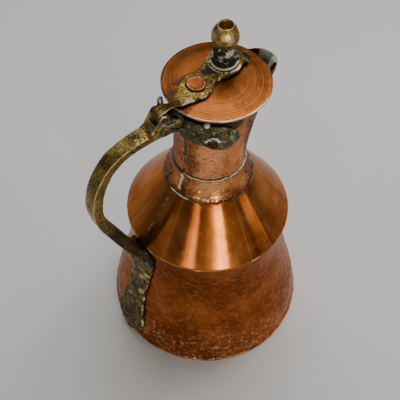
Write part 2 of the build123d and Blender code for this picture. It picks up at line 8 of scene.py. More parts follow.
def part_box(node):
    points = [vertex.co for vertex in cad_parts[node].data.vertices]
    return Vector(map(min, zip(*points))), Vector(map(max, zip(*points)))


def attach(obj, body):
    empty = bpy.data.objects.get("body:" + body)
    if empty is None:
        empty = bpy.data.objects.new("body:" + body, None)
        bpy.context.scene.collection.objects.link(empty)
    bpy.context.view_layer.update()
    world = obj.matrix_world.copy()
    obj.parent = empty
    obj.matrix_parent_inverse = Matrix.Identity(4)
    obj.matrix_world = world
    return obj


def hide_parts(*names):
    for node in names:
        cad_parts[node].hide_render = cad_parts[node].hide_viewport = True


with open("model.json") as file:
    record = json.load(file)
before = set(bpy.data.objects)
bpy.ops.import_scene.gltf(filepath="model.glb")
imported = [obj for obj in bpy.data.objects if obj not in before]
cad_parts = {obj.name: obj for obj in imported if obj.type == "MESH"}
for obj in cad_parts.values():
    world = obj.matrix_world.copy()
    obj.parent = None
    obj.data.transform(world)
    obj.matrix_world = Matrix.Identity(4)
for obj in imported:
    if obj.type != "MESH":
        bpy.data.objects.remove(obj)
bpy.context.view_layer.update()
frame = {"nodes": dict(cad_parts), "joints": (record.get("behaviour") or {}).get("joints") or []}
mm = 0.001

# Every shape below is worked out in millimetres and put into its mesh in metres.
# The sizes that the pieces share are read from the solids' boxes.


def boxOf(node):
    low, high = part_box(node)
    return np.array(low) / mm, np.array(high) / mm


foot, cone = boxOf("base_plate"), boxOf("shoulder_cone")
collar, neck, lid = boxOf("neck_collar"), boxOf("neck_tube"), boxOf("lid_disc")
bow, pin, strapBox = boxOf("handle_bow"), boxOf("hinge_pin"), boxOf("lid_strap")
hinge = np.array([j for j in frame["joints"] if j["name"] == "lid_hinge"][0]["pos_m"]) / mm


# Shared sums and shapes

def limited(value):
    return np.clip(value, 0, 1)


def unit(vectors):
    # The same directions with a length of one.
    return vectors / np.maximum(np.linalg.norm(vectors, axis=-1, keepdims=True), 1e-9)


def fullTurn(count):
    return np.linspace(0, 2 * np.pi, count, endpoint=False)


def fromAxis(points, x=0.0, y=0.0):
    # Each point's distance from an upright axis.
    return np.hypot(points[..., 0] - x, points[..., 1] - y)


def bearing(points):
    return np.arctan2(points[..., 1], points[..., 0])


def towards(points, azimuth):
    # 1 on the side that faces an azimuth in degrees, -1 on the far side.
    return np.cos(bearing(points) - math.radians(azimuth))


def alongY(path):
    return np.broadcast_to(np.array([0.0, 1.0, 0.0]), path.shape)


noiseKeys = {"axes": (73856093, 19349663, 83492791), "mix": 1274126177, "seedStep": 17.31}


def noiseAt(points, size, seed):
    # Value noise from -1 to 1: mixed-up numbers on a lattice, blended by a smooth step.
    p = np.asarray(points, float) / size + seed * noiseKeys["seedStep"]
    base = np.floor(p).astype(np.int64)
    t = p - base
    t = t * t * (3 - 2 * t)
    total = np.zeros(p.shape[:-1])
    for corner in range(8):
        step = np.array([corner & 1, corner >> 1 & 1, corner >> 2])
        mixed = np.bitwise_xor.reduce((base + step + 5000) * noiseKeys["axes"], axis=-1)
        mixed = (mixed ^ (mixed >> 13)) * noiseKeys["mix"] & 0x7FFFFFFF
        value = ((mixed ^ (mixed >> 15)) & 0xFFFF) / 65535.0
        total += np.prod(np.where(step == 1, t, 1 - t), axis=-1) * value
    return total * 2 - 1


def roughAt(points, size, seed):
    # Three layers of noise, each half as large and half as high as the one before.
    layers = [noiseAt(points, size / 2 ** k, seed + k) / 2 ** k for k in range(3)]
    return sum(layers) / 1.75


def near(points, centre, reach):
    # 1 at a centre, falling smoothly to 0 at a reach.
    far = np.linalg.norm(points - np.array(centre, float), axis=-1) / reach
    return limited(1 - far) ** 2 * (1 + 2 * limited(far))


def nearColumn(points, x, y, reach):
    # The same round an upright line.
    return near(points * (1, 1, 0), (x, y, 0), reach)


def rise(value, low, high):
    # 0 below low, 1 above high, and a smooth step between them.
    t = limited((value - low) / (high - low))
    return t * t * (3 - 2 * t)


def plateau(value, start, full, fade, end):
    # 0, up to 1 between the first two values, and down to 0 between the last two.
    return rise(value, start, full) * (1 - rise(value, fade, end))


def smoothLine(points, count):
    # A natural cubic spline through the points, with chord lengths as its parameter.
    p = np.asarray(points, float)
    hop = np.linalg.norm(np.diff(p, axis=0), axis=1)
    t = np.concatenate([[0], np.cumsum(hop)])
    size = len(p)
    left, right = np.eye(size), np.zeros_like(p)
    inner = np.arange(1, size - 1)
    left[inner, inner - 1] = hop[:-1]
    left[inner, inner] = 2 * (hop[:-1] + hop[1:])
    left[inner, inner + 1] = hop[1:]
    slope = np.diff(p, axis=0) / hop[:, None]
    right[1:-1] = 6 * np.diff(slope, axis=0)
    bend = np.linalg.solve(left, right)
    s = np.linspace(0, t[-1], count)
    k = np.clip(np.searchsorted(t, s, side="right") - 1, 0, size - 2)
    w, h = (s - t[k])[:, None], hop[k][:, None]
    first = slope[k] - h * (2 * bend[k] + bend[k + 1]) / 6
    return p[k] + w * first + w ** 2 * bend[k] / 2 + w ** 3 * (bend[k + 1] - bend[k]) / (6 * h)


def evenly(points, step, closed=False):
    # The same line with points at an even step along it.
    p = np.asarray(points, float)
    if closed:
        p = np.concatenate([p, p[:1]])
    t = np.concatenate([[0], np.cumsum(np.linalg.norm(np.diff(p, axis=0), axis=1))])
    count = max(int(round(t[-1] / step)), 4)
    s = np.linspace(0, t[-1], count, endpoint=not closed)
    return np.stack([np.interp(s, t, p[:, i]) for i in range(p.shape[1])], axis=-1)


def roundedCorners(points, radius, closed=True, turns=5):
    # Each corner becomes a parabola between two points at the radius from it.
    p = np.asarray(points, float)
    before, after = np.roll(p, 1, axis=0), np.roll(p, -1, axis=0)
    back = np.linalg.norm(before - p, axis=1, keepdims=True)
    ahead = np.linalg.norm(after - p, axis=1, keepdims=True)
    start = p + (before - p) * np.minimum(radius / back, 0.49)
    end = p + (after - p) * np.minimum(radius / ahead, 0.49)
    t = np.linspace(0, 1, turns)[None, :, None]
    curve = (1 - t) ** 2 * start[:, None] + 2 * t * (1 - t) * p[:, None] + t ** 2 * end[:, None]
    if closed:
        return curve.reshape(-1, p.shape[1])
    return np.concatenate([p[:1], curve[1:-1].reshape(-1, p.shape[1]), p[-1:]])


def turned(profile, columns, centre=(0, 0)):
    # Point = centre + (r cos a, r sin a, z) for each radius and height of the profile.
    angle = fullTurn(columns)
    r, z = profile[:, 0, None], profile[:, 1, None]
    x = centre[0] + r * np.cos(angle)
    y = centre[1] + r * np.sin(angle)
    return np.stack([x, y, z + 0 * angle], axis=-1)


def turnedOn(profile, columns, start, direction):
    # The same about any axis: start + along * direction + radius * a turning side.
    axis = unit(np.array(direction, float))
    side = unit(np.cross(axis, (0, 0, 1) if abs(axis[2]) < 0.9 else (1, 0, 0)))
    other = np.cross(axis, side)
    angle = fullTurn(columns)[None, :, None]
    r, along = profile[:, 0, None, None], profile[:, 1, None, None]
    return np.array(start) + along * axis + r * (np.cos(angle) * side + np.sin(angle) * other)


def carried(path, across, outward, section, wide, thick):
    # Point = path + section's first number * across + its second number * outward.
    wide = np.broadcast_to(np.asarray(wide, float), (len(path),))[:, None, None]
    thick = np.broadcast_to(np.asarray(thick, float), (len(path),))[:, None, None]
    a, b = section[None, :, 0, None], section[None, :, 1, None]
    return path[:, None] + a * wide * across[:, None] + b * thick * outward[:, None]


def softBox(corner, count):
    # A closed section from -1 to 1 both ways: a superellipse, squarer as corner shrinks.
    a = fullTurn(count)
    x = np.sign(np.cos(a)) * np.abs(np.cos(a)) ** corner
    y = np.sign(np.sin(a)) * np.abs(np.sin(a)) ** corner
    return evenly(np.stack([x, y], axis=-1), 8.0 / count, closed=True)[:count]


def roundedPlate(outline, low, high, edge):
    # An outline of x and z, with y from low to high, its edges rounded inwards and its two
    # faces made of rings that shrink towards the middle.
    ahead, back = np.roll(outline, -1, axis=0), np.roll(outline, 1, axis=0)
    along = unit(ahead - back)
    inward = np.stack([-along[:, 1], along[:, 0]], axis=-1)
    area = np.sum(outline[:, 0] * ahead[:, 1] - ahead[:, 0] * outline[:, 1])
    inward *= np.sign(area)
    q = np.linspace(0, np.pi / 2, 4)
    depth = np.concatenate([1 - np.sin(q), np.zeros(4), (1 - np.sin(q))[::-1]]) * edge
    y = np.concatenate([low + edge * (1 - np.cos(q)), np.linspace(low + edge, high - edge, 6)[1:-1],
                        (high - edge * (1 - np.cos(q)))[::-1]])
    flat = outline[None] + inward[None] * depth[:, None, None]
    share = np.array([0.15, 0.4, 0.65, 0.85])[:, None, None]
    middle = outline.mean(axis=0)
    first, last = middle + (flat[0] - middle) * share, middle + (flat[-1] - middle) * share[::-1]
    flat = np.concatenate([first, flat, last])
    y = np.concatenate([np.full(4, low), y, np.full(4, high)])[:, None]
    x, z = flat[..., 0], flat[..., 1]
    return np.stack([x, np.broadcast_to(y, x.shape), z], axis=-1)


def quadsOf(rows, cols, wrapRows):
    index = np.arange(rows * cols).reshape(rows, cols)
    if wrapRows:
        index = np.concatenate([index, index[:1]])
    index = np.concatenate([index, index[:, :1]], axis=1)
    corners = index[:-1, :-1], index[:-1, 1:], index[1:, 1:], index[1:, :-1]
    return np.stack(corners, axis=-1).reshape(-1, 4)


def enclosed(points, quads):
    # Six times the signed volume that the faces enclose.
    a, b, c, d = (points[quads[:, i]] for i in range(4))
    one = np.einsum("ij,ij->i", a, np.cross(b, c))
    return np.sum(one) + np.sum(np.einsum("ij,ij->i", a, np.cross(c, d)))


def outwardOf(grid, wrapRows):
    # Unit normals of a grid that is closed across its columns, facing outwards.
    if wrapRows:
        down = np.roll(grid, -1, axis=0) - np.roll(grid, 1, axis=0)
    else:
        down = np.gradient(grid, axis=0)
    along = np.roll(grid, -1, axis=1) - np.roll(grid, 1, axis=1)
    normal = unit(np.cross(along, down))
    middle = grid.reshape(-1, 3).mean(axis=0)
    quads = quadsOf(grid.shape[0], grid.shape[1], wrapRows)
    sign = np.sign(enclosed(grid.reshape(-1, 3) - middle, quads))
    return normal * sign


def pushed(grid, amount, wrapRows=False):
    return grid + outwardOf(grid, wrapRows) * np.asarray(amount)[..., None]


def addPiece(name, grid, body, node, finish, wrapRows=False, sharp=50, marks=None):
    # Makes the mesh of a grid that is closed across its columns, and closes its two ends
    # unless its rows wrap. It replaces the node.
    rows, cols = grid.shape[:2]
    points = grid.reshape(-1, 3)
    quads = quadsOf(rows, cols, wrapRows)
    faces = quads.tolist()
    extra = []
    if not wrapRows:
        first, last = np.arange(cols), np.arange(cols) + (rows - 1) * cols
        top = rows * cols
        extra = [grid[0].mean(axis=0), grid[-1].mean(axis=0)]
        faces += np.stack([np.roll(first, -1), first, np.full(cols, top)], axis=-1).tolist()
        faces += np.stack([last, np.roll(last, -1), np.full(cols, top + 1)], axis=-1).tolist()
        points = np.concatenate([points, extra])
    middle = points.mean(axis=0)
    if enclosed(points - middle, quads) < 0:
        faces = [face[::-1] for face in faces]
    mesh = bpy.data.meshes.new(name)
    mesh.from_pydata((points * mm).tolist(), [], faces)
    mesh.validate()
    mesh.polygons.foreach_set("use_smooth", np.ones(len(mesh.polygons), bool))
    mesh.set_sharp_from_angle(angle=math.radians(sharp))
    for mark, values in (marks or {}).items():
        values = np.broadcast_to(np.asarray(values, float), (rows, cols))
        flat = np.concatenate([values.ravel(), [values[0].mean(), values[-1].mean()][:len(extra)]])
        mesh.attributes.new(mark, "FLOAT", "POINT").data.foreach_set("value", flat)
    piece = bpy.data.objects.new(name, mesh)
    bpy.context.scene.collection.objects.link(piece)
    material, slotName = finish
    mesh.materials.append(material)
    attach(piece, body)
    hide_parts(node)
    return piece


# Shader maths

class Wire:
    # A socket with Python's arithmetic, so that a mask reads as a formula.
    def __init__(self, finish, socket):
        self.finish, self.socket = finish, socket

    def maths(self, how, other, swapped=False):
        a, b = (other, self) if swapped else (self, other)
        return self.finish.add("ShaderNodeMath", {"operation": how}, {0: a, 1: b})

    def __add__(self, other):
        return self.maths("ADD", other)

    def __radd__(self, other):
        return self.maths("ADD", other, True)

    def __sub__(self, other):
        return self.maths("SUBTRACT", other)

    def __rsub__(self, other):
        return self.maths("SUBTRACT", other, True)

    def __mul__(self, other):
        return self.maths("MULTIPLY", other)

    def __rmul__(self, other):
        return self.maths("MULTIPLY", other, True)


class Finish:
    # A material, and one method that adds any node to it.
    def __init__(self, name):
        self.material = bpy.data.materials.new(name)
        self.material.use_nodes = True
        self.tree = self.material.node_tree
        self.tree.nodes.clear()
        self.place = self.add("ShaderNodeTexCoord", {}, {}, "Object")

    def add(self, kind, settings, sockets, out=0):
        node = self.tree.nodes.new(kind)
        for key, value in settings.items():
            setattr(node, key, value)
        for key, value in sockets.items():
            if isinstance(value, Wire):
                self.tree.links.new(value.socket, node.inputs[key])
            elif isinstance(value, tuple) and len(value) == 3 and node.inputs[key].type == "RGBA":
                node.inputs[key].default_value = (*value, 1)
            else:
                node.inputs[key].default_value = value
        return Wire(self, node.outputs[out]) if node.outputs else node

    def mark(self, name):
        return self.add("ShaderNodeAttribute", {"attribute_name": name}, {}, "Fac")

    def vector(self, how, *values, out=0):
        sockets = dict(enumerate(values))
        return self.add("ShaderNodeVectorMath", {"operation": how}, sockets, out)

    def noise(self, size, detail=2.0, seed=0.0, place=None):
        # size is in millimetres
        shifted = self.vector("ADD", place or self.place, (seed, seed * 1.7, -seed))
        return self.add("ShaderNodeTexNoise", {}, {"Vector": shifted, "Scale": 1 / (size * mm),
                                                  "Detail": detail, "Roughness": 0.55}, "Fac")

    def cells(self, size, out="Distance", how="F1", place=None):
        return self.add("ShaderNodeTexVoronoi", {"feature": how},
                        {"Vector": place or self.place, "Scale": 1 / (size * mm)}, out)

    def band(self, value, low, high):
        return self.add("ShaderNodeMapRange", {"interpolation_type": "SMOOTHSTEP"},
                        {"Value": value, "From Min": low, "From Max": high})

    def mix(self, share, a, b):
        return self.add("ShaderNodeMix", {"data_type": "RGBA"}, {0: share, 6: a, 7: b}, 2)

    def levelPlace(self, centre):
        # The place measured from an upright axis, with its height left out.
        moved = self.vector("SUBTRACT", self.place, (centre[0] * mm, centre[1] * mm, 0))
        return self.vector("MULTIPLY", moved, (1, 1, 0))

    def close(self, colour, roughness, metallic, height, steady=None):
        # height is in millimetres, and steady holds what is the same all over
        bump = self.add("ShaderNodeBump", {}, {"Strength": 1.0, "Distance": mm, "Height": height})
        sockets = {"Base Color": colour, "Roughness": roughness, "Metallic": metallic,
                   "Normal": bump, **(steady or {})}
        shader = self.add("ShaderNodeBsdfPrincipled", {}, sockets)
        self.add("ShaderNodeOutputMaterial", {}, {"Surface": shader})
        return self.material


# Marks that the pieces carry: grime darkens, both for dirt and for painted shade, worn
# brightens, both for wear and for painted highlights, green is verdigris and pale is bare solder.
patina = {
    "grime": (0.014, 0.008, 0.004),
    "darkGreen": (0.012, 0.022, 0.013),
    "paleGreen": (0.34, 0.41, 0.28),
    "pale": (0.82, 0.85, 0.70),
}


def beatenPattern(f, look, colour, height, wornAndHighlight):
    # Hammer bowls of two sizes, with bright ridges and, where the worn mark is high, bright
    # flecks: both are painted highlights of light caught on the hammer facets.
    size = look["hammer"]
    bowl = f.cells(size, how="SMOOTH_F1")
    shifted = f.vector("ADD", f.place, (0.31, 0.17, 0.05))
    small = f.cells(size * 0.62, how="SMOOTH_F1", place=shifted)
    bowls = (bowl * bowl + small * small * 0.5) * look["hammerDepth"]
    height = height + bowls * (wornAndHighlight * look["beaten"] + 1)
    beat = f.noise(size * 0.8, 3, 21.0)
    fleck = f.band(beat, 0.5, 0.66) * f.band(beat, 0.4, 0.75)
    colour = f.mix(fleck * f.band(wornAndHighlight, 0.05, 0.45), colour, look["wornAndHighlight"])
    colour = f.mix(f.band(bowl, 0.45, 0.9) * look["ridge"], colour, look["bright"])
    return colour, height


def spunPattern(f, look, colour, height, rough):
    # Rings round the lid's middle: noise along the distance from its axis.
    away = f.vector("LENGTH", f.levelPlace(look["centre"]), out="Value")
    line = f.add("ShaderNodeCombineXYZ", {}, {0: away})
    thin = f.noise(look["rings"], 2, 2.2, place=line)
    broad = f.noise(look["rings"] * 4, 1, 5.2, place=line)
    height = height + (thin - 0.5) * look["ringDepth"]
    colour = f.mix(f.band(thin, 0.5, 0.68) * 0.36, colour, look["bright"])
    colour = f.mix(f.band(broad, 0.5, 0.72) * 0.2, colour, look["dark"])
    return colour, height, rough + (broad - 0.5) * 0.12


def streakedPattern(f, look, colour, rough):
    # Streaks down the cone: noise on the direction away from the axis.
    way = f.vector("NORMALIZE", f.levelPlace((0, 0)))
    broad = f.noise(look["streaks"], 2, 3.1, place=way)
    thin = f.noise(look["streaks"] * 0.2, 2, 6.1, place=way)
    colour = f.mix(f.band(broad, 0.5, 0.7) * 0.55, colour, look["dark"])
    colour = f.mix(f.band(thin, 0.55, 0.75) * 0.3, colour, look["bright"])
    return colour, rough + (thin - 0.5) * 0.1


def pittedPattern(f, look):
    # 1 in the pits: the middles of cells, in those that chance and a crowding noise allow.
    middle = 1 - f.band(f.cells(look["pit"]), 0.12, 0.42)
    chance = f.add("ShaderNodeSeparateColor", {}, {0: f.cells(look["pit"], "Color")})
    crowd = f.band(f.noise(look["pit"] * 9, 2, 9.4), 0.3, 0.7)
    share = look["pitShare"]
    return middle * f.band(chance + crowd * 0.25, 1.12 - share, 1.2 - share)


def metalFinish(name, look):
    f = Finish(name)
    wornAndHighlight, grime, green, pale = (f.mark(mark) for mark in ("wornAndHighlight", "grime", "green", "pale"))
    patch = f.noise(look["patch"], 3, 1.3)
    grain = f.noise(look["grain"], 3, 4.1)
    fine = f.noise(look["grain"] * 0.28, 2, 7.7)
    colour = f.mix(f.band(patch, 0.36, 0.66), look["dark"], look["mid"])
    colour = f.mix(f.band(grain, 0.48, 0.78) * look["brightShare"], colour, look["bright"])
    height = (fine - 0.5) * look["grainDepth"]
    rough = look["rough"] + (grain - 0.5) * look["roughVary"]
    if "hammer" in look:
        colour, height = beatenPattern(f, look, colour, height, wornAndHighlight)
    if "rings" in look:
        colour, height, rough = spunPattern(f, look, colour, height, rough)
    if "streaks" in look:
        colour, rough = streakedPattern(f, look, colour, rough)
    speckle, edge = f.noise(look["speckle"], 3, 11.3), look["speckleFrom"]
    dark = f.band(speckle, edge, edge + 0.08) * look["speckleDark"]
    colour = f.mix(dark, colour, look["pitColour"])
    height = height - dark * look["speckleDepth"]
    pits = pittedPattern(f, look)
    # The grain tears the edge of each mark.
    # Dirt and painted shade darken the colour here, and wear and painted highlights lighten it.
    grimeAndShadeShare = f.band(grime + (grain - 0.5) * 0.9, 0.3, 0.75)
    mossy = f.band(green + (grain - 0.5) * 1.1 + (fine - 0.5) * 0.5, 0.38, 0.62)
    bare = f.band(pale + (grain - 0.5) * 0.9 + (fine - 0.5) * 0.4, 0.42, 0.6)
    bright = f.band(wornAndHighlight + (fine - 0.5) * 0.7, 0.35, 0.8) * (1 - grimeAndShadeShare * 0.7)
    depth = f.band(fine * 0.6 + green * 0.5, 0.42, 0.72)
    moss = f.mix(depth, patina["darkGreen"], patina["paleGreen"])
    colour = f.mix(bright, colour, look["wornAndHighlight"])
    colour = f.mix(pits * look["pitDark"], colour, look["pitColour"])
    colour = f.mix(grimeAndShadeShare * 0.93, colour, patina["grime"])
    colour = f.mix(mossy, colour, moss)
    colour = f.mix(bare, colour, patina["pale"])
    rough = rough + pits * 0.25 + grimeAndShadeShare * 0.3 + mossy * 0.4 - bright * 0.08
    metal = look["metal"] * (1 - mossy * 0.85) * (1 - grimeAndShadeShare * 0.5) * (1 - bare * 0.7)
    height = height - pits * look["pitDepth"] + mossy * fine * 0.25
    return f.close(colour, rough, metal, height, steady=look.get("steady"))


# Sizes and depths are in millimetres. Each look names only what differs from the one that
# it starts from.
bodyLook = {
    "dark": (0.2, 0.045, 0.009), "mid": (0.37, 0.098, 0.024), "bright": (0.66, 0.26, 0.1),
    "wornAndHighlight": (0.88, 0.42, 0.17), "patch": 26,
    "grain": 3.6, "grainDepth": 0.06, "brightShare": 0.35,
    "rough": 0.26, "roughVary": 0.2, "metal": 1.0,
    "hammer": 4.4, "hammerDepth": 0.6, "beaten": 1.6, "ridge": 0.3,
    "speckle": 2.6, "speckleFrom": 0.62, "speckleDark": 0.4, "speckleDepth": 0.03,
    "pit": 1.9, "pitShare": 0.3, "pitDark": 0.55, "pitDepth": 0.05,
    "pitColour": (0.05, 0.012, 0.004),
    "steady": {"Specular Tint": (0.84, 0.68, 0.6)},
}
shoulderLook = {
    "dark": (0.32, 0.08, 0.014), "mid": (0.6, 0.195, 0.048), "bright": (0.86, 0.41, 0.15),
    "wornAndHighlight": (0.95, 0.6, 0.33), "patch": 40,
    "grain": 7, "grainDepth": 0.006, "brightShare": 0.2,
    "rough": 0.21, "roughVary": 0.12, "metal": 1.0, "streaks": 160,
    "speckle": 2.2, "speckleFrom": 0.68, "speckleDark": 0.45, "speckleDepth": 0.02,
    "pit": 1.5, "pitShare": 0.12, "pitDark": 0.6, "pitDepth": 0.03,
    "pitColour": (0.1, 0.025, 0.006),
    "steady": {"Specular Tint": (0.84, 0.7, 0.62)},
}
neckLook = dict(
    bodyLook, dark=(0.34, 0.09, 0.025), mid=(0.64, 0.23, 0.08), bright=(0.9, 0.48, 0.27),
    wornAndHighlight=(0.97, 0.44, 0.2), patch=16, grain=2.8, rough=0.25,
    hammer=3.0, hammerDepth=0.42, beaten=0.8, speckle=1.9, speckleFrom=0.58)
collarLook = dict(neckLook, mid=(0.68, 0.27, 0.085), rough=0.22, hammer=3.4)
rivetLook = dict(
    bodyLook, dark=(0.13, 0.034, 0.01), mid=(0.19, 0.053, 0.015), bright=(0.3, 0.105, 0.036),
    wornAndHighlight=(0.58, 0.3, 0.16), patch=7, grain=2.0, rough=0.42, metal=0.95,
    hammer=2.2, hammerDepth=0.12, pitShare=0.2)
lidLook = {
    "dark": (0.1, 0.027, 0.007), "mid": (0.18, 0.054, 0.012), "bright": (0.34, 0.124, 0.035),
    "wornAndHighlight": (0.9, 0.55, 0.33), "patch": 30,
    "grain": 6, "grainDepth": 0.008, "brightShare": 0.3,
    "rough": 0.37, "roughVary": 0.12, "metal": 1.0,
    "rings": 1.3, "ringDepth": 0.05, "centre": ((lid[0][0] + lid[1][0]) / 2, 0),
    "speckle": 2.2, "speckleFrom": 0.66, "speckleDark": 0.3, "speckleDepth": 0.02,
    "pit": 1.6, "pitShare": 0.12, "pitDark": 0.5, "pitDepth": 0.03,
    "pitColour": (0.06, 0.018, 0.005),
    "steady": {"Specular Tint": (0.9, 0.7, 0.6)},
}
brassLook = {
    "dark": (0.2, 0.125, 0.026), "mid": (0.47, 0.32, 0.08), "bright": (0.72, 0.53, 0.18),
    "wornAndHighlight": (0.85, 0.66, 0.34), "patch": 13,
    "grain": 2.6, "grainDepth": 0.12, "brightShare": 0.6,
    "rough": 0.36, "roughVary": 0.25, "metal": 0.95,
    "speckle": 1.35, "speckleFrom": 0.51, "speckleDark": 0.8, "speckleDepth": 0.14,
    "pit": 1.5, "pitShare": 0.55, "pitDark": 0.9, "pitDepth": 0.16,
    "pitColour": (0.022, 0.013, 0.004),
}
strapLook = dict(
    brassLook, dark=(0.1, 0.05, 0.01), mid=(0.25, 0.152, 0.033), bright=(0.42, 0.29, 0.088),
    rough=0.4, speckle=1.2, speckleDark=0.7, pit=1.2, pitShare=0.3)
knobLook = dict(
    brassLook, bright=(0.62, 0.43, 0.13), speckle=1.2, speckleDark=0.6, pit=1.2, pitShare=0.25)
bracketLook = dict(
    brassLook, dark=(0.02, 0.02, 0.009), mid=(0.17, 0.152, 0.058), bright=(0.54, 0.48, 0.22),
    wornAndHighlight=(0.7, 0.6, 0.28), patch=4.6, grain=2.0, grainDepth=0.34, brightShare=0.85,
    rough=0.33, metal=0.85, speckle=1.7, speckleFrom=0.52, speckleDepth=0.26)
leafLook = dict(
    bracketLook, dark=(0.03, 0.026, 0.008), mid=(0.25, 0.17, 0.038), bright=(0.54, 0.38, 0.11),
    wornAndHighlight=(0.7, 0.54, 0.22), rough=0.42)
solderLook = {
    "dark": (0.04, 0.03, 0.017), "mid": (0.24, 0.175, 0.1), "bright": (0.6, 0.55, 0.42),
    "wornAndHighlight": (0.8, 0.77, 0.66), "patch": 5,
    "grain": 1.8, "grainDepth": 0.15, "brightShare": 0.5,
    "rough": 0.32, "roughVary": 0.3, "metal": 0.85,
    "speckle": 1.9, "speckleFrom": 0.52, "speckleDark": 0.75, "speckleDepth": 0.1,
    "pit": 1.1, "pitShare": 0.3, "pitDark": 0.8, "pitDepth": 0.12,
    "pitColour": (0.014, 0.012, 0.008),
}
moundLook = dict(
    solderLook, dark=(0.015, 0.012, 0.007), mid=(0.09, 0.075, 0.045),
    grainDepth=0.4, brightShare=0.6, rough=0.2)
wireLook = dict(
    solderLook, dark=(0.02, 0.022, 0.015), mid=(0.075, 0.085, 0.06), bright=(0.2, 0.23, 0.17),
    rough=0.5, metal=0.5)

# Each finish: its material, and the record's slot that it stands for.
bodyCopper = metalFinish("beatenBodyCopper", bodyLook), "body_copper"
shoulderCopper = metalFinish("polishedShoulderCopper", shoulderLook), "shoulder_copper"
neckCopper = metalFinish("beatenNeckCopper", neckLook), "neck_copper"
collarCopper = metalFinish("beatenCollarCopper", collarLook), "neck_copper"
lidCopper = metalFinish("spunLidCopper", lidLook), "lid_copper"
rivetCopper = metalFinish("rivetCopper", rivetLook), "rivet_copper"
castBrass = metalFinish("pittedCastBrass", brassLook), "handle_brass"
strapBrass = metalFinish("wornStrapBrass", strapLook), "handle_brass"
knobBrass = metalFinish("wornKnobBrass", knobLook), "handle_brass"
crustedBrass = metalFinish("crustedCastBrass", bracketLook), "bracket_brass"
leafBrass = metalFinish("greenedLeafBrass", leafLook), "bracket_brass"
tinSolder = metalFinish("tinSolder", solderLook), "solder"
moundSolder = metalFinish("crustedSolder", moundLook), "solder"
pinWire = metalFinish("tarnishedWire", wireLook), "pin_brass"
print("finishes made")


# Lower body and foot
bodyShape = {"sheet": 1.2, "footSheet": 0.8, "waist": 64.8, "lip": 2.4, "columns": 360,
             "rows": 100, "innerRows": 30, "dent": 0.16, "dentSize": 8.5, "footWobble": 0.22}
footRadius, crimpHeight = foot[1][0], foot[1][2]
footWall = footRadius - bodyShape["footSheet"]
shoulderRadius, lipLow = cone[1][0], cone[0][2]
shoulderHeight = lipLow + bodyShape["lip"]


def bodySideLine():
    # The body's side as one spline through shares of its height and of its flare.
    shares = np.array([(0, 1), (0.148, 0.85), (0.35, 0.52), (0.575, 0.185), (0.785, 0)])
    waist = bodyShape["waist"]
    r = waist + shares[:, 1] * (footWall - waist)
    z = crimpHeight + shares[:, 0] * (lipLow - crimpHeight)
    top = [shoulderRadius - bodyShape["sheet"], lipLow]
    return smoothLine(np.concatenate([np.stack([r, z], axis=-1), [top]]), 120)


bodyLine = bodySideLine()


def bodyRadius(z):
    return np.interp(z, bodyLine[:, 1], bodyLine[:, 0])


def beatenBody():
    # The side line turned round Z, and back inside at a sheet's thickness. Dents push the
    # outer wall along its normals.
    shape = bodyShape
    low, high, size = shape["footSheet"], shoulderHeight - 0.5, shape["dentSize"]
    up, down = np.linspace(low, high, shape["rows"]), np.linspace(high, low, shape["innerRows"])
    outside = np.stack([bodyRadius(up), up], axis=-1)
    inside = np.stack([bodyRadius(down) - shape["sheet"], down], axis=-1)
    grid = turned(np.concatenate([outside, inside]), shape["columns"])
    outer = (np.arange(len(grid)) < shape["rows"])[:, None]
    quiet = plateau(grid[..., 2], 1, 8, lipLow - 6, lipLow - 1)
    beaten = 1 - rise(grid[..., 2], 14, 56)
    dents = noiseAt(grid, size, 1) + 0.45 * noiseAt(grid, size / 2, 2)
    dents = dents + beaten * noiseAt(grid * (1, 1, 0.6), size * 0.55, 4)
    grid = pushed(grid, dents * shape["dent"] * outer * quiet, wrapRows=True)
    behindLeaf = near(grid * (0, 1, 0), (0, 0, 0), 55) * (grid[..., 0] < 0) * outer
    lowEdge = (1 - rise(grid[..., 2], crimpHeight, crimpHeight + 5)) * outer
    highEdge = rise(grid[..., 2], lipLow - 4, lipLow) * outer
    # The worn mark on the low, beaten part is mostly a painted highlight, where the hammer facets
    # get bright flecks; the body is also darker at the foot, under the shoulder's lip and round the
    # back by the leaf.
    marks = {"grime": np.maximum.reduce([0.45 * lowEdge, 0.5 * highEdge, 0.42 * behindLeaf]),
             "wornAndHighlight": limited(outer * beaten * (0.4 + 0.14 * noiseAt(grid * (1, 1, 0.5), 10, 5)))}
    return addPiece("beatenBody", grid, "pitcher", "lower_body", bodyCopper,
                    wrapRows=True, marks=marks)


def crimpedFoot():
    # The bottom sheet and its crimp turned round Z, the crimp wavering in and out and up.
    sheet = bodyShape["footSheet"]
    inner = footWall
    edge = [(footRadius - 0.5, 0), (footRadius, 0.5), (footRadius, crimpHeight - 0.5),
            (footRadius - 0.25, crimpHeight), (inner + 0.1, crimpHeight - 0.1)]
    profile = np.concatenate([
        evenly([(0.4, 0), edge[0]], 4.0), evenly(edge, 0.35)[1:],
        evenly([(inner - 0.4, crimpHeight - 0.6), (inner - 0.4, sheet)], 0.6),
        evenly([(inner - 1, sheet), (0.4, sheet)], 6.0)])
    grid = turned(profile, bodyShape["columns"])
    out = rise(fromAxis(grid), footRadius - 1.2, footRadius - 0.4)
    squat = grid * (1, 1, 0.2)
    wobble = noiseAt(squat, 11, 3) + 0.6 * noiseAt(squat, 3.5, 4)
    amount = out * (wobble - 1) * bodyShape["footWobble"]
    grid = grid + unit(grid * (1, 1, 0)) * amount[..., None]
    high = out * rise(grid[..., 2], 1.5, 3)
    grid[..., 2] += high * 0.45 * noiseAt(grid, 4.5, 5)
    marks = {"wornAndHighlight": out * (0.75 + 0.5 * noiseAt(grid, 7, 6)),
             "grime": out * (0.1 + 0.5 * noiseAt(grid, 9, 7))}
    return addPiece("crimpedFoot", grid, "pitcher", "base_plate", bodyCopper, marks=marks)


beatenBody()
crimpedFoot()
print("body and foot made")


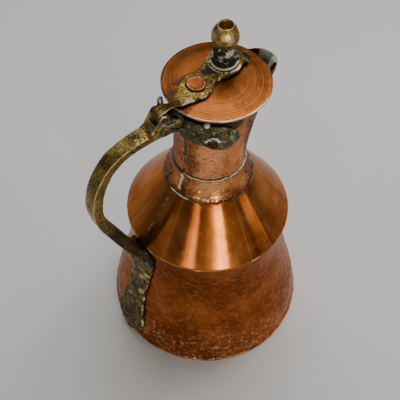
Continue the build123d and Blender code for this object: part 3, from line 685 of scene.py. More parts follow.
# Shoulder, collar and their solder
shoulderShape = {"sheet": 1.2, "columns": 420, "wave": 0.3, "edge": 0.5,
                 "seamAngle": -177.5, "seamWidth": 1.3, "seamRise": 0.45, "seamInset": 3.0}
collarShape = {"footWidth": 1.3, "band": 3.5, "hollow": 0.75, "sheet": 1.2, "columns": 260,
               "rows": 26, "dent": 0.13, "litSide": -126, "dripAngle": -170,
               "topRingReach": 1.5, "footRing": 0.62, "topRing": 0.55, "ringColumns": 300}
collarRadius, collarLow, collarTop = collar[1][0], collar[0][2], collar[1][2]
openRadius = collarRadius - collarShape["footWidth"]
coneSlope = (cone[1][2] - shoulderHeight) / (shoulderRadius - openRadius)
neckRadius = boxOf("collar_top_solder")[1][0] - collarShape["topRingReach"]


def coneHeight(radius):
    return shoulderHeight + (shoulderRadius - radius) * coneSlope


def polishedShoulder():
    # The cone's outline turned round Z, and back under it at a sheet's thickness. Waves that
    # run from top to bottom push the outer side along its normals.
    shape = shoulderShape
    drop = shape["sheet"] * math.hypot(1, coneSlope)
    outside = roundedCorners(
        [(shoulderRadius - 0.3, lipLow), (shoulderRadius, lipLow + 0.3),
         (shoulderRadius, shoulderHeight), (openRadius, coneHeight(openRadius))],
        shape["edge"], closed=False, turns=7)
    outside = evenly(outside, 0.7)
    inner = shoulderRadius - shape["sheet"]
    inside = evenly([(openRadius, coneHeight(openRadius) - drop),
                     (inner, coneHeight(inner) - drop), (inner, lipLow)], 2.0)
    grid = turned(np.concatenate([outside, inside]), shape["columns"])
    outer = (np.arange(len(grid)) < len(outside) - 1)[:, None]
    r = fromAxis(grid)
    way = np.stack([grid[..., 0] / r, grid[..., 1] / r, 0 * r], axis=-1) * 10
    waves = noiseAt(way, 3.1, 8) + 0.5 * noiseAt(way, 1.3, 9) + 0.4 * noiseAt(grid, 15, 10)
    middle = plateau(r, openRadius, openRadius + 6, shoulderRadius - 5, shoulderRadius - 0.5)
    grid = pushed(grid, waves * shape["wave"] * outer * (0.25 + 0.75 * middle), wrapRows=True)
    rim = rise(r, shoulderRadius - 0.8, shoulderRadius) * outer
    highEdge = (1 - rise(r, collarRadius, collarRadius + 4)) * outer
    lowEdge = (1 - rise(grid[..., 2], lipLow, lipLow + 0.8)) * outer
    marks = {"wornAndHighlight": rim * (0.35 + 0.5 * noiseAt(grid, 6, 11)),
             "grime": np.maximum(0.5 * highEdge, 0.8 * lowEdge)}
    return addPiece("polishedShoulder", grid, "pitcher", "shoulder_cone", shoulderCopper,
                    wrapRows=True, marks=marks)


def soldered(name, node, path, half, high, out, seed, marks):
    # A raised strip: half an ellipse carried along a path, its width and height uneven.
    across = unit(np.cross(unit(np.gradient(path, axis=0)), out))
    turn = fullTurn(16)
    section = np.stack([np.cos(turn), np.clip(np.sin(turn), -0.3, 1)], axis=-1)
    wide = half * (1 + 0.3 * noiseAt(path, 3.5, seed))
    thick = high * (1 + 0.4 * noiseAt(path, 2.5, seed + 1))
    grid = carried(path, across, out, section, wide, thick)
    return addPiece(name, grid, "pitcher", node, tinSolder, marks=marks(grid))


def shoulderSeam():
    # A raised strip straight down the cone at one angle.
    shape = shoulderShape
    turn = math.radians(shape["seamAngle"])
    side = np.array([math.cos(turn), math.sin(turn)])
    r = np.linspace(collarRadius + shape["seamInset"], shoulderRadius - shape["seamInset"], 50)
    path = np.stack([r * side[0], r * side[1], coneHeight(r)], axis=-1)
    out = np.broadcast_to(unit(np.array([*coneSlope * side, 1.0])), path.shape)

    def marks(grid):
        return {"pale": 0.32 + 0.3 * noiseAt(grid, 8, 14),
                "grime": 0.4 + 0.4 * noiseAt(grid, 6, 15)}

    return soldered("shoulderSeam", "shoulder_seam", path, shape["seamWidth"] / 2,
                    shape["seamRise"], out, 12, marks)


def flaredCollar():
    # Two flaring lines and the lip between them, turned round Z. Dents push the outer side.
    shape = collarShape
    rows, hollow = shape["rows"], shape["hollow"]
    bandLow, outerBand = collarTop - shape["band"], neckRadius + shape["sheet"]
    innerBand = neckRadius + 0.05
    t = np.linspace(0, 1, rows)[:, None]

    def flare(start, end):
        # A straight line, drawn in by a parabola that is deepest at its middle.
        line = (1 - t) * np.array(start) + t * np.array(end)
        return line - np.concatenate([4 * hollow * t * (1 - t), 0 * t], axis=1)

    outside = flare((collarRadius, coneHeight(collarRadius) + 0.05), (outerBand, bandLow))
    inside = flare((openRadius, coneHeight(openRadius)), (innerBand, bandLow))[::-1]
    lip = [(outerBand, bandLow + 1), (outerBand, bandLow + 2), (outerBand, collarTop - 0.4),
           (outerBand - 0.4, collarTop), (innerBand, collarTop)]
    grid = turned(np.concatenate([outside, lip, inside]), shape["columns"])
    outer = (np.arange(len(grid)) < rows + 2)[:, None]
    beats = noiseAt(grid, 5.0, 16) + 0.5 * noiseAt(grid, 2.6, 17)
    grid = pushed(grid, beats * shape["dent"] * outer, wrapRows=True)
    z = grid[..., 2]
    low = (1 - rise(z, collarLow + 1, collarLow + 4)) * outer
    high = rise(z, bandLow - 0.5, collarTop) * outer
    back = rise(-grid[..., 0], 5, 30)
    facing = towards(grid, shape["litSide"])
    # Painted shade on the sides turned away from the lit side, and a painted highlight on the lit
    # side itself, in the last part of the worn mark.
    sides = 0.58 * outer * (1 - rise(facing, 0.3, 0.8))
    away = np.abs(np.degrees(bearing(grid)) - shape["dripAngle"] + 2.5 * noiseAt(grid, 3, 18))
    drip = (1 - rise(away, 1.2, 3.6)) * outer * rise(z, collarLow + 2, collarLow + 5)
    marks = {"grime": np.maximum.reduce([low * 0.6, high * (0.25 + 0.4 * back), sides]),
             "green": 0.35 * back * high, "pale": drip,
             "wornAndHighlight": 0.35 * high * (1 - back) + outer * 0.58 * rise(facing, 0.8, 1.0)}
    return addPiece("flaredCollar", grid, "pitcher", "neck_collar", collarCopper,
                    wrapRows=True, marks=marks)


def solderRing(name, node, radius, height, size, uneven, seed, marks):
    # A small circle turned round the Z axis, its size and place uneven round the ring.
    turn, columns = fullTurn(14), collarShape["ringColumns"]
    profile = np.stack([radius + size * np.cos(turn), height + size * np.sin(turn)], axis=-1)
    grid = turned(profile, columns)
    centre = turned(np.array([[radius, height]]), columns)
    swell = 1 + uneven * (roughAt(centre, 5.0, seed) + 0.7 * noiseAt(centre, 1.8, seed + 4))
    grid = centre + (grid - centre) * swell[..., None]
    grid = pushed(grid, 0.18 * noiseAt(grid, 1.4, seed + 5), wrapRows=True)
    return addPiece(name, grid, "pitcher", node, tinSolder, wrapRows=True, marks=marks(grid))


def ringMarks(paleAt, greenAt, dirtAndShade):
    # Pale and green places, each an angle in degrees, a half width and a strength.
    def marks(grid):
        angle = np.degrees(bearing(grid))

        def share(places):
            total = np.zeros(angle.shape)
            for at, half, strength in places:
                away = np.abs((angle - at + 180) % 360 - 180) / half
                total = np.maximum(total, strength * (1 - rise(away, 0.5, 1.0)))
            return total

        return {"pale": share(paleAt) * (0.85 + 0.3 * noiseAt(grid, 3, 21)),
                "green": share(greenAt) * (0.8 + 0.4 * noiseAt(grid, 2.5, 23)),
                "grime": dirtAndShade + 0.35 * noiseAt(grid, 4, 22)}
    return marks


polishedShoulder()
shoulderSeam()
flaredCollar()
solderRing("footSolderRing", "collar_foot_solder", collarRadius + 0.05,
           coneHeight(collarRadius) + 0.1, collarShape["footRing"], 0.3, 31,
           ringMarks([(-165, 20, 0.85)], [(-125, 50, 0.42), (170, 60, 0.45)], 0.35))
solderRing("topSolderRing", "collar_top_solder", neckRadius + 0.35, collarTop + 0.2,
           collarShape["topRing"], 0.2, 41,
           ringMarks([(-100, 95, 0.8)], [(165, 50, 0.6)], 0.3))
print("shoulder and collar made")


# Neck, its seam and its bracket
neckShape = {"lap": 5.5, "roundTop": 192.5, "hollow": 1.2, "lipRadius": 14.0, "sheet": 1.2,
             "columns": 264, "rows": 84, "innerRows": 44, "dent": 0.14, "litSide": -124,
             "seamAngle": -167.5, "seamHalf": 1.6, "seamRise": 0.45}
bracketShape = {"thickness": 3.0, "film": 0.05, "drop": 27.4, "tipX": 5.7, "backLow": 231.0,
                "columns": 300, "corner": 0.42, "around": 44, "neckShare": 0.7,
                "rivetAngle": 122.1, "rivetHeight": 233.0, "rivetRadius": 3.9,
                "rivetLength": 5.4, "rivetDome": 1.2, "rivetSpot": (-16.3, 26, 233)}
rimHeight, lipReach = neck[1][2], neck[1][0]


def neckReach(angle, share):
    # Round back and round lip joined by tangents, as a belt lies on two wheels. The share is
    # 0 where the neck is still round, and 1 at the rim.
    shape = neckShape
    angle = np.abs(angle)
    back = neckRadius - shape["hollow"] * np.sin(np.pi * share)
    lip = neckRadius - (neckRadius - shape["lipRadius"]) * share ** 0.7
    apart = neckRadius + (lipReach - neckRadius) * share ** 1.3 - lip
    safe = np.maximum(apart, np.abs(back - lip) + 1e-6)
    turn = np.arccos(np.clip((back - lip) / safe, -1, 1))
    lipEdge = np.arctan2(lip * np.sin(turn), safe + lip * np.cos(turn))
    beyond = np.sqrt(np.maximum(lip ** 2 - (safe * np.sin(angle)) ** 2, 0))
    inLip = safe * np.cos(angle) + beyond
    tangent = back / np.cos(np.clip(angle - turn, -1.5, 1.5))
    reach = np.where(angle <= lipEdge, inLip, np.where(angle >= turn, back, tangent))
    return np.where(apart <= np.abs(back - lip), back, reach)


def neckPoint(angle, z, extra):
    # Point = (reach cos a, reach sin a, z), where reach = the outline's at z, and extra more.
    share = limited((z - neckShape["roundTop"]) / (rimHeight - neckShape["roundTop"]))
    reach = neckReach(angle, share) + extra
    x, y = reach * np.cos(angle), reach * np.sin(angle)
    return np.stack(np.broadcast_arrays(x, y, z), axis=-1)


def neckTube():
    # The neck's outline at each height, and back down inside it at a sheet's thickness.
    # Dents push the outer wall along its normals.
    shape = neckShape
    rows, lowEnd = shape["rows"], collarTop - shape["lap"]
    half = np.pi * np.linspace(0, 1, shape["columns"] // 2 + 1) ** 1.3
    angle = np.concatenate([half[:-1], -half[:0:-1]])[None, :]
    up = np.linspace(lowEnd, rimHeight, rows)
    down = np.linspace(rimHeight, lowEnd, shape["innerRows"])
    heights = np.concatenate([up, down])[:, None]
    outer = (np.arange(len(heights)) < rows)[:, None]
    inside = 1 - outer
    grid = neckPoint(angle, heights, -shape["sheet"] * inside)
    quiet = plateau(grid[..., 2], collarTop - 1, collarTop + 3, rimHeight - 3, rimHeight)
    beats = noiseAt(grid, 6.0, 51) + 0.5 * noiseAt(grid, 3.0, 52)
    grid = pushed(grid, beats * shape["dent"] * outer * quiet, wrapRows=True)
    x, z = grid[..., 0], grid[..., 2]
    lipInside = inside * rise(x, 8, 22) * rise(z, 236, 246)
    back = rise(-x, 12, 26)
    facing = towards(grid, shape["litSide"])
    # A painted highlight on the lit side.
    bright = 0.62 * rise(facing, 0.8, 1.0) + 0.12 * noiseAt(grid, 8, 60)
    lipGreen = lipInside * (0.5 + 0.6 * noiseAt(grid, 5, 54))
    # Darkened: painted shade inside the neck, as the lid's shadow under the rim and on the sides
    # turned away from the lit side; grime at the back, and darker just above the collar.
    dirtAndShade = [inside * (0.95 - 0.15 * lipInside),
            back * outer * (0.38 + 0.25 * noiseAt(grid, 14, 53)),
            outer * rise(z, rimHeight - 33, rimHeight - 12) * (0.46 + 0.75 * rise(facing, 0, 0.6)),
            outer * (1 - rise(z, collarTop + 1, collarTop + 5)) * 0.5,
            outer * 0.6 * (1 - rise(facing, 0.2, 0.75))]
    marks = {"wornAndHighlight": outer * quiet * bright,
             "green": np.maximum(lipGreen, 0.3 * back * outer),
             "pale": 0.6 * lipInside * rise(noiseAt(grid, 5, 50), 0.3, 0.55),
             "grime": np.maximum.reduce(dirtAndShade)}
    return addPiece("neckTube", grid, "pitcher", "neck_tube", neckCopper, wrapRows=True,
                    marks=marks, sharp=40)


def neckSeam():
    # A raised strip up the neck's outline at one angle.
    shape = neckShape
    turn = math.radians(shape["seamAngle"])
    z = np.linspace(shape["roundTop"], bracketShape["backLow"] - 1.5, 60)
    path = neckPoint(np.full(60, turn), z, 0.0)
    out = np.broadcast_to(np.array([math.cos(turn), math.sin(turn), 0]), path.shape)

    def marks(grid):
        return {"green": 0.22 + 0.4 * noiseAt(grid, 6, 57),
                "pale": 0.2 + 0.35 * noiseAt(grid, 9, 58),
                "grime": 0.3 + 0.3 * noiseAt(grid, 5, 59)}

    return soldered("neckSeam", "neck_seam", path, shape["seamHalf"], shape["seamRise"], out,
                    55, marks)


def wingEdges():
    # The wing's upper and lower edges, as heights over x from the back to the tip.
    shape = bracketShape
    back = -(neckRadius + 2 * shape["thickness"])
    run, top = shape["tipX"] - back, boxOf("neck_bracket")[1][2]
    low = top - shape["drop"]
    shares = np.array([(0.36, 1.0), (0.56, 0.93), (0.74, 0.79), (0.88, 0.59), (1.0, 0.34),
                       (0.95, 0.1), (0.71, 0.0), (0.52, 0.04), (0.33, 0.19)])
    x, z = back + shares[:, 0] * run, low + shares[:, 1] * shape["drop"]
    edge = smoothLine(np.stack([x, z], axis=-1), 160)
    tip = int(np.argmax(edge[:, 0]))
    upper = np.concatenate([[(back, top)], edge[:tip + 1]])
    lower = np.concatenate([[(back, shape["backLow"])], edge[tip:][::-1]])
    return upper, lower, back, edge[tip, 0]


def neckBracket():
    # Point = the neck's outline at an angle, out from it by a film and by the section's first
    # number, and up by its second number from the wing's lower edge to its upper one.
    shape = bracketShape
    upper, lower, back, tip = wingEdges()
    share, thick = shape["neckShare"], shape["thickness"] / 2
    reach = neckReach(np.full(1, 1.4), share)[0] + shape["thickness"]
    tipAngle = math.acos(tip / reach)
    u = np.sin(np.linspace(-np.pi / 2, np.pi / 2, shape["columns"]))
    turn = np.pi - np.abs(u) * (np.pi - tipAngle)
    angle = np.sign(u + 1e-9) * turn
    x = np.clip((neckReach(turn, share) + shape["thickness"]) * np.cos(turn), back, tip)
    order = np.argsort(lower[:, 0])
    high = np.interp(x, upper[:, 0], upper[:, 1])
    low = np.interp(x, lower[order, 0], lower[order, 1])
    middle, half = (high + low) / 2, np.maximum((high - low) / 2, 0.05)
    thin = np.minimum(1, half / 3.0)[:, None]
    section = softBox(shape["corner"], shape["around"])
    through, level = section[None, :, 0], section[None, :, 1]
    extra = shape["film"] + thick + through * (thick - 0.03) * thin - (1 - thin) * (thick - 0.2)
    grid = neckPoint(angle[:, None], middle[:, None] + level * half[:, None], extra)
    lumps = roughAt(grid, 5.0, 61)
    bumps = lumps * 0.85 + noiseAt(grid, 1.6, 62) * 0.24 - 0.2
    jagged = noiseAt(grid, 3.2, 63) * 0.5 * rise(-level, 0.7, 1.0)
    grid = pushed(grid, (bumps + jagged) * rise(through, -0.2, 0.6))
    edge, top = rise(np.abs(level), 0.75, 1.0), rise(level, 0.8, 1.0)
    front = rise(grid[..., 0], -24, 2)
    # A bare arc lies above each rivet.
    folded = np.stack([grid[..., 0], np.abs(grid[..., 1]), grid[..., 2]], axis=-1)
    away = np.linalg.norm(folded - shape["rivetSpot"], axis=-1)
    arc = plateau(away, 4.0, 4.8, 6.0, 7.4) * rise(grid[..., 2], 232, 236)
    green = 0.2 + 0.35 * noiseAt(grid, 7, 64) + 0.4 * rise(lumps, 0.05, 0.4) * (1 - 0.5 * front)
    bare = arc * (0.85 + 0.15 * noiseAt(grid, 2.5, 65))
    dirtAndShade = 0.12 + 0.3 * noiseAt(grid, 4, 66) - 0.7 * lumps
    marks = {"green": limited(green),
             "pale": limited(top * (0.2 + 0.25 * front) + 0.12 * rise(lumps, 0.2, 0.5) + bare),
             "grime": limited(dirtAndShade + 0.35 * edge * (1 - front) - 0.4 * arc),
             "wornAndHighlight": 0.22 + 0.06 * front + 0.5 * noiseAt(grid, 2.6, 67)}
    return addPiece("neckBracket", grid, "pitcher", "neck_bracket", crustedBrass, marks=marks)


def rivetHead(name, node, start, direction, radius, length, dome, seed, marks=None):
    # A shank and a domed head turned on the rivet's own axis, with an uneven outline. The
    # tip's ring comes twice, so that the last one isn't pushed.
    t = np.linspace(0, 1, 9) * np.pi / 2
    head = np.stack([radius * np.cos(t) ** 0.45, length + dome * np.sin(t)], axis=-1)
    shank = [(0.15, 0), (radius * 0.4, 0), (radius * 0.4, length - 0.5),
             (radius * 0.8, length - 0.5), (radius, length - 0.3)]
    profile = np.concatenate([shank, head, head[-1:]])
    profile[:, 0] = np.maximum(profile[:, 0], 0.12)
    grid = turnedOn(profile, 64, start, direction)
    bumps = 0.28 * noiseAt(grid, radius * 0.8, seed) + 0.1 * noiseAt(grid, 1.2, seed + 1)
    grid = pushed(grid, bumps)
    return addPiece(name, grid, "pitcher", node, rivetCopper,
                    marks=marks(grid) if marks else None)


def bracketRivets():
    shape = bracketShape

    def marks(grid):
        return {"grime": 0.55 + 0.25 * noiseAt(grid, 3, 72)}

    for side, name in ((-1, "nearBracketRivet"), (1, "farBracketRivet")):
        turn = side * math.radians(shape["rivetAngle"])
        start = neckPoint(np.array(turn), np.array(shape["rivetHeight"]), -2.2)
        direction = (math.cos(turn), math.sin(turn), 0)
        rivetHead(name, "bracket_rivets", start, direction, shape["rivetRadius"],
                  shape["rivetLength"], shape["rivetDome"], 71, marks)


def solderBead():
    # A ball turned round its own upright axis, and pushed in and out by noise.
    low, high = boxOf("bracket_solder")
    centre, radius = (low + high) / 2, (high - low)[0] / 2
    t = np.linspace(0.05, np.pi - 0.05, 18)
    profile = np.stack([radius * np.sin(t), -radius * np.cos(t)], axis=-1)
    grid = turnedOn(profile, 32, centre + (0, 0, 0.1), (0, 0, 1))
    grid = pushed(grid, 0.3 * noiseAt(grid, 1.6, 73) - 0.1)
    return addPiece("solderBead", grid, "pitcher", "bracket_solder", tinSolder,
                    marks={"pale": 0.9 + 0.2 * noiseAt(grid, 2, 74)})


neckTube()
neckSeam()
neckBracket()
bracketRivets()
solderBead()
print("neck and bracket made")


# Handle, hinge block and leaf
# Spots of dirt and of bare metal are a centre and a reach, here and on the lid.
handleShape = {"top": 247.8, "belly": 196.0, "foot": 104.0, "thickness": 8.8,
               "blockBack": -54.7, "rows": 230, "columns": 64, "slotHalf": 4.4,
               "slotReach": 5.4, "lugRadius": 3.9, "corner": 0.26,
               "bodyGap": 1.2, "neckGap": 1.5, "neckShare": 0.75,
               "topGrime": ((-62.5, 1, 247), 13), "backPatch": ((-53.5, 2, 247), 6),
               "frontPatch": ((-35, -4, 251), 4)}
leafShape = {"thickness": 3.6, "top": 117.0, "bottom": 5.5, "waistHalf": 11.8,
             "wideHalf": 18.2, "rows": 130, "columns": 60, "corner": 0.4,
             "highGold": ((-72, -9, 86), 16), "lowGold": ((-76, -13, 60), 12),
             "rivetRadius": 2.3, "rivetLength": 5.6, "rivetDome": 0.7}
handleHalf = bow[1][1]
handleReach = -bow[0][0]


def handleLine():
    # The outer edge and the inner one in x and z, as in the solid. Each station has its
    # shares of the way out, of the height and of the thickness.
    shape = handleShape
    footX = -(shoulderRadius - bodyShape["sheet"] + leafShape["thickness"])
    upper = np.array([(0.0, 1.0, 0.76), (0.32, 0.945, 0.72), (0.61, 0.81, 0.8),
                      (0.853, 0.52, 0.92), (0.975, 0.19, 0.98)])
    lower = np.array([(1.0, 1.0, 1.0), (0.9, 0.765, 0.97), (0.67, 0.54, 0.97),
                      (0.325, 0.23, 1.0), (0.0, 0.0, 1.02)])

    def placed(shares, start, low, high):
        x = start - shares[:, 0] * (handleReach + start)
        return np.stack([x, low + shares[:, 1] * (high - low), shares[:, 2]], axis=-1)

    line = np.concatenate([placed(upper, shape["blockBack"], shape["belly"], shape["top"]),
                           placed(lower, footX, shape["foot"], shape["belly"])])
    outer = line[:, :2]
    after, before = np.concatenate([outer[1:], outer[-1:]]), np.concatenate([outer[:1], outer[:-1]])
    ahead = unit(after - before)
    thick = line[:, 2:] * shape["thickness"]
    inner = outer + np.stack([-ahead[:, 1], ahead[:, 0]], axis=-1) * thick
    return outer, inner


def handleBow():
    # A rounded oblong carried along the middle line, its width along Y and its thickness
    # from edge to edge. Where it would enter the body, it is moved out to the wall.
    shape = handleShape
    outer, inner = (smoothLine(line, shape["rows"]) for line in handleLine())
    flat, out = (outer + inner) / 2, outer - inner
    path = np.stack([flat[:, 0], 0 * flat[:, 0], flat[:, 1]], axis=-1)
    thick = np.linalg.norm(out, axis=1)
    outward = np.stack([out[:, 0] / thick, 0 * thick, out[:, 1] / thick], axis=-1)
    section = softBox(shape["corner"], shape["columns"])
    crown = np.where(section[:, 1] > 0, 1 + 0.05 * (1 - section[:, 0] ** 2), 1.0)
    section = np.stack([section[:, 0], section[:, 1] * crown], axis=-1)
    wide = handleHalf * (1 - 0.03 * np.sin(np.linspace(0, np.pi, len(path))))
    grid = carried(path, alongY(path), outward, section, wide, thick / 2 - 0.1)
    grid = pushed(grid, roughAt(grid, 9, 81) * 0.35 + noiseAt(grid, 2.2, 82) * 0.1 - 0.15)
    least = bodyRadius(grid[..., 2]) + shape["bodyGap"]
    inBody = (grid[..., 2] < shoulderHeight + 2) & (fromAxis(grid) < least)
    wall = -np.sqrt(np.maximum(least ** 2 - grid[..., 1] ** 2, 0))
    grid[..., 0] = np.where(inBody, wall, grid[..., 0])
    aside, above = np.abs(section[None, :, 0]), section[None, :, 1]
    ridge = rise(above, 0.76, 0.97) * rise(aside, 0.77, 0.95)
    face = rise(above, 0.5, 0.9) * (1 - rise(aside, 0.85, 1.0))
    lowPart = rise(np.linspace(0, 1, len(path))[:, None], 0.52, 0.68)
    dirtAndShade = (1 - face) * 0.34 + lowPart * 0.33 + 0.12 * noiseAt(grid, 12, 83) - 0.9 * ridge
    marks = {"wornAndHighlight": ridge * (1.0 - 0.35 * lowPart) + 0.2 * face * (1 - lowPart),
             "grime": limited(dirtAndShade + 0.62 * near(grid, *shape["topGrime"]))}
    return addPiece("handleBow", grid, "pitcher", "handle_bow", castBrass, marks=marks)


def hingeBlock():
    # The block under the slot, and a cheek on each side of it that ends round the pin. Each
    # is a rounded plate of x and z, moved out from Z where it would enter the neck.
    shape = handleShape
    low = shape["top"] - 0.9 * shape["thickness"]
    slotBack, floor = hinge[0] - shape["slotReach"], hinge[2] - shape["slotReach"]
    back, front = shape["blockBack"] - 1.0, -neckRadius
    under = roundedCorners(
        [(back, low + 1.7), (back, shape["top"] - 0.2), (slotBack - 1.2, floor + 1.4),
         (slotBack, floor + 1.2), (slotBack + 0.6, floor), (front, floor - 1.4), (front, low)], 0.8)
    lug, radius = np.radians(np.linspace(150, 15, 9)), shape["lugRadius"]
    cheek = [(back + 1, low + 3), (back + 1, shape["top"] - 1), (slotBack - 1.4, hinge[2] - 3.8)]
    cheek += [(hinge[0] + radius * math.cos(a), hinge[2] + radius * math.sin(a)) for a in lug]
    cheek += [(hinge[0] + 5.8, hinge[2] - 1.9), (front, floor - 1.2), (front, low + 0.5)]
    plates = (("hingeBlock", under, -handleHalf + 0.3, handleHalf - 0.3),
              ("nearHingeCheek", cheek, -handleHalf, -shape["slotHalf"]),
              ("farHingeCheek", cheek, shape["slotHalf"], handleHalf))
    for name, outline, start, end in plates:
        grid = roundedPlate(evenly(np.array(outline), 0.5, closed=True), start, end, 0.5)
        least = neckReach(bearing(grid), shape["neckShare"]) + shape["neckGap"]
        grid[..., :2] *= np.maximum(least / fromAxis(grid), 1)[..., None]
        grid = pushed(grid, roughAt(grid, 3.0, 85) * 0.5 - 0.25)
        x, y, z = grid[..., 0], grid[..., 1], grid[..., 2]
        patch = near(grid, *shape["backPatch"]) + 0.5 * near(grid, *shape["frontPatch"])
        side = 1 - rise(y, 0.15 - handleHalf, 0.6 - handleHalf)
        rim = rise(-y, 6.0, 6.5) * (1 - side) * rise(z, 246, 248)
        ahead = rise(x, -52, -46)
        topEdge = rise(np.abs(y), 3.8, 4.4) * (1 - side) * rise(z, 248.5, 250)
        dirtAndShade = 0.3 + 0.28 * ahead + 0.5 * noiseAt(grid, 3, 87)
        bright = 0.1 + 0.4 * noiseAt(grid, 2.6, 89)
        marks = {"green": limited(0.1 + 0.22 * ahead + 0.5 * noiseAt(grid, 2.6, 86) + 0.6 * patch),
                 "grime": limited(dirtAndShade - 0.7 * rim - 0.4 * patch),
                 "pale": limited(0.3 * patch + 0.4 * noiseAt(grid, 2.4, 88)),
                 "wornAndHighlight": limited(bright + 0.85 * rim + 0.5 * topEdge)}
        addPiece(name, grid, "pitcher", "handle_bow", castBrass, marks=marks)


def handleLeaf():
    # Point = (-root of (r squared - y squared), y, z), with y = the half width at z * the
    # section's first number, and r = the body's radius + the section's second number.
    shape = leafShape
    span = shape["top"] - shape["bottom"]
    gain = shape["wideHalf"] - shape["waistHalf"]
    upper = np.array([(1.0, 0.48), (0.965, 0.78), (0.88, 0.85), (0.74, 0.77)])
    middle = np.array([(0.6, 0.0), (0.44, 0.0), (0.31, 0.3), (0.2, 0.88), (0.11, 1.0)])
    tip = np.array([(0.04, 0.72), (0.0, 0.25)])
    middle = middle * (1, gain) + (0, shape["waistHalf"])
    side = np.concatenate([upper * (1, shape["wideHalf"]), middle, tip * (1, shape["wideHalf"])])
    side = np.stack([side[:, 1], shape["bottom"] + side[:, 0] * span], axis=-1)
    side = smoothLine(side, shape["rows"])
    half, thick = side[:, 0, None], shape["thickness"] / 2
    section = softBox(shape["corner"], shape["columns"])
    across, out = section[None, :, 0], section[None, :, 1]
    y = half * across
    z = side[:, 1, None] + 0 * y
    r = bodyRadius(z) + (thick + out * (thick - 0.05) + 0.02)
    grid = np.stack([-np.sqrt(np.maximum(r ** 2 - y ** 2, 0)), y, z], axis=-1)
    outer = rise(out, -0.3, 0.4)
    crumbs = roughAt(grid, 6.5, 91) * 0.95 + noiseAt(grid, 2.4, 92) * 0.45
    jagged = noiseAt(grid, 3.8, 93) * 1.1 * rise(np.abs(across), 0.8, 1.0)
    grid = pushed(grid, (crumbs - 0.15) * outer + jagged * outer)
    top = rise(grid[..., 2], 92, 110)
    nearEdge = rise(-across, 0.85, 1.0)
    gold = near(grid, *shape["highGold"]) + near(grid, *shape["lowGold"])
    green = 0.02 + 0.25 * noiseAt(grid, 8, 94) + 0.3 * top * rise(-grid[..., 1], 0, 8)
    bare = 0.62 * nearEdge * (1 - top) * (0.6 + 0.6 * noiseAt(grid, 5, 95))
    marks = {"green": limited(green), "pale": limited(bare),
             "wornAndHighlight": limited(0.2 + 0.5 * noiseAt(grid, 3.4, 96) + 0.5 * gold),
             "grime": limited(0.24 + 0.5 * noiseAt(grid, 5, 97) - 0.4 * gold + 0.42 * top)}
    return addPiece("handleLeaf", grid, "pitcher", "handle_leaf", leafBrass, marks=marks)


def leafRivet():
    shape = leafShape
    low, high = boxOf("leaf_rivet")
    z, y = (low[2] + high[2]) / 2, (low[1] + high[1]) / 2
    start = (-(bodyRadius(z) - 2.0), y, z)
    return rivetHead("leafRivet", "leaf_rivet", start, (-1, 0, 0), shape["rivetRadius"],
                     shape["rivetLength"], shape["rivetDome"], 98)


pinShape = {"shaftRadius": 1.45, "shaftLength": 15.8, "headRadius": 2.3, "headLength": 1.2,
            "wire": 0.9, "loopHalf": 1.4, "loopReach": 5.6}


def tube(path, radius, columns):
    # Point = path + radius * (cos a * side + sin a * other), its side kept steady.
    along = unit(np.gradient(path, axis=0))
    side = unit(np.cross(along, (0.31, 0.95, 0.05)))
    a = fullTurn(columns)
    section = np.stack([np.cos(a), np.sin(a)], axis=-1)
    return carried(path, side, np.cross(along, side), section, radius, radius)


def hingePin():
    # The shaft and the head turned on the hinge's line, and the loop of wire at its far end.
    shape = pinShape
    low, high = pin
    radius, length = shape["shaftRadius"], shape["shaftLength"]
    shaft = np.array([(0.1, 0), (radius, 0), (radius, 8), (radius, length - 0.2), (0.1, length)])
    grid = turnedOn(shaft, 24, (hinge[0], low[1] + 0.6, hinge[2]), (0, 1, 0))
    grid = pushed(grid, 0.05 * noiseAt(grid, 2, 101))
    addPiece("hingePinShaft", grid, "pitcher", "hinge_pin", pinWire)
    radius, length = shape["headRadius"], shape["headLength"]
    head = np.array([(0.1, 0), (1.5, 0.05), (2.2, 0.35), (radius, 0.8), (2.1, 1.1), (0.1, length)])
    grid = turnedOn(head, 30, (hinge[0], low[1], hinge[2]), (0, 1, 0))
    green = 0.4 + 0.3 * noiseAt(grid, 2, 103)
    grid = pushed(grid, 0.12 * noiseAt(grid, 1.2, 102))
    addPiece("hingePinHead", grid, "pitcher", "hinge_pin", pinWire, marks={"green": green})
    wire, half, loopX = shape["wire"], shape["loopHalf"], hinge[0] + shape["loopReach"]
    loopY = high[1] - 1.3 * wire
    turn = np.radians(np.linspace(-90, 270, 40))
    middle = np.where(np.sin(turn) > 0, high[2] - wire - half, hinge[2] + half)
    x, z = loopX + half * np.cos(turn), middle + half * np.sin(turn)
    start = [(hinge[0], loopY - 0.3, hinge[2]), (hinge[0] + 3, loopY, hinge[2])]
    path = np.concatenate([start, np.stack([x, np.full(40, loopY), z], axis=-1)])
    path = evenly(path, 0.45)
    grid = tube(path, wire * (1 + 0.12 * noiseAt(path, 2, 104)), 14)
    addPiece("hingePinLoop", grid, "pitcher", "hinge_pin", pinWire,
             marks={"green": 0.5 + 0.3 * noiseAt(grid, 2.5, 105)})


handleBow()
hingeBlock()
handleLeaf()
leafRivet()
hingePin()
print("handle and hinge made")


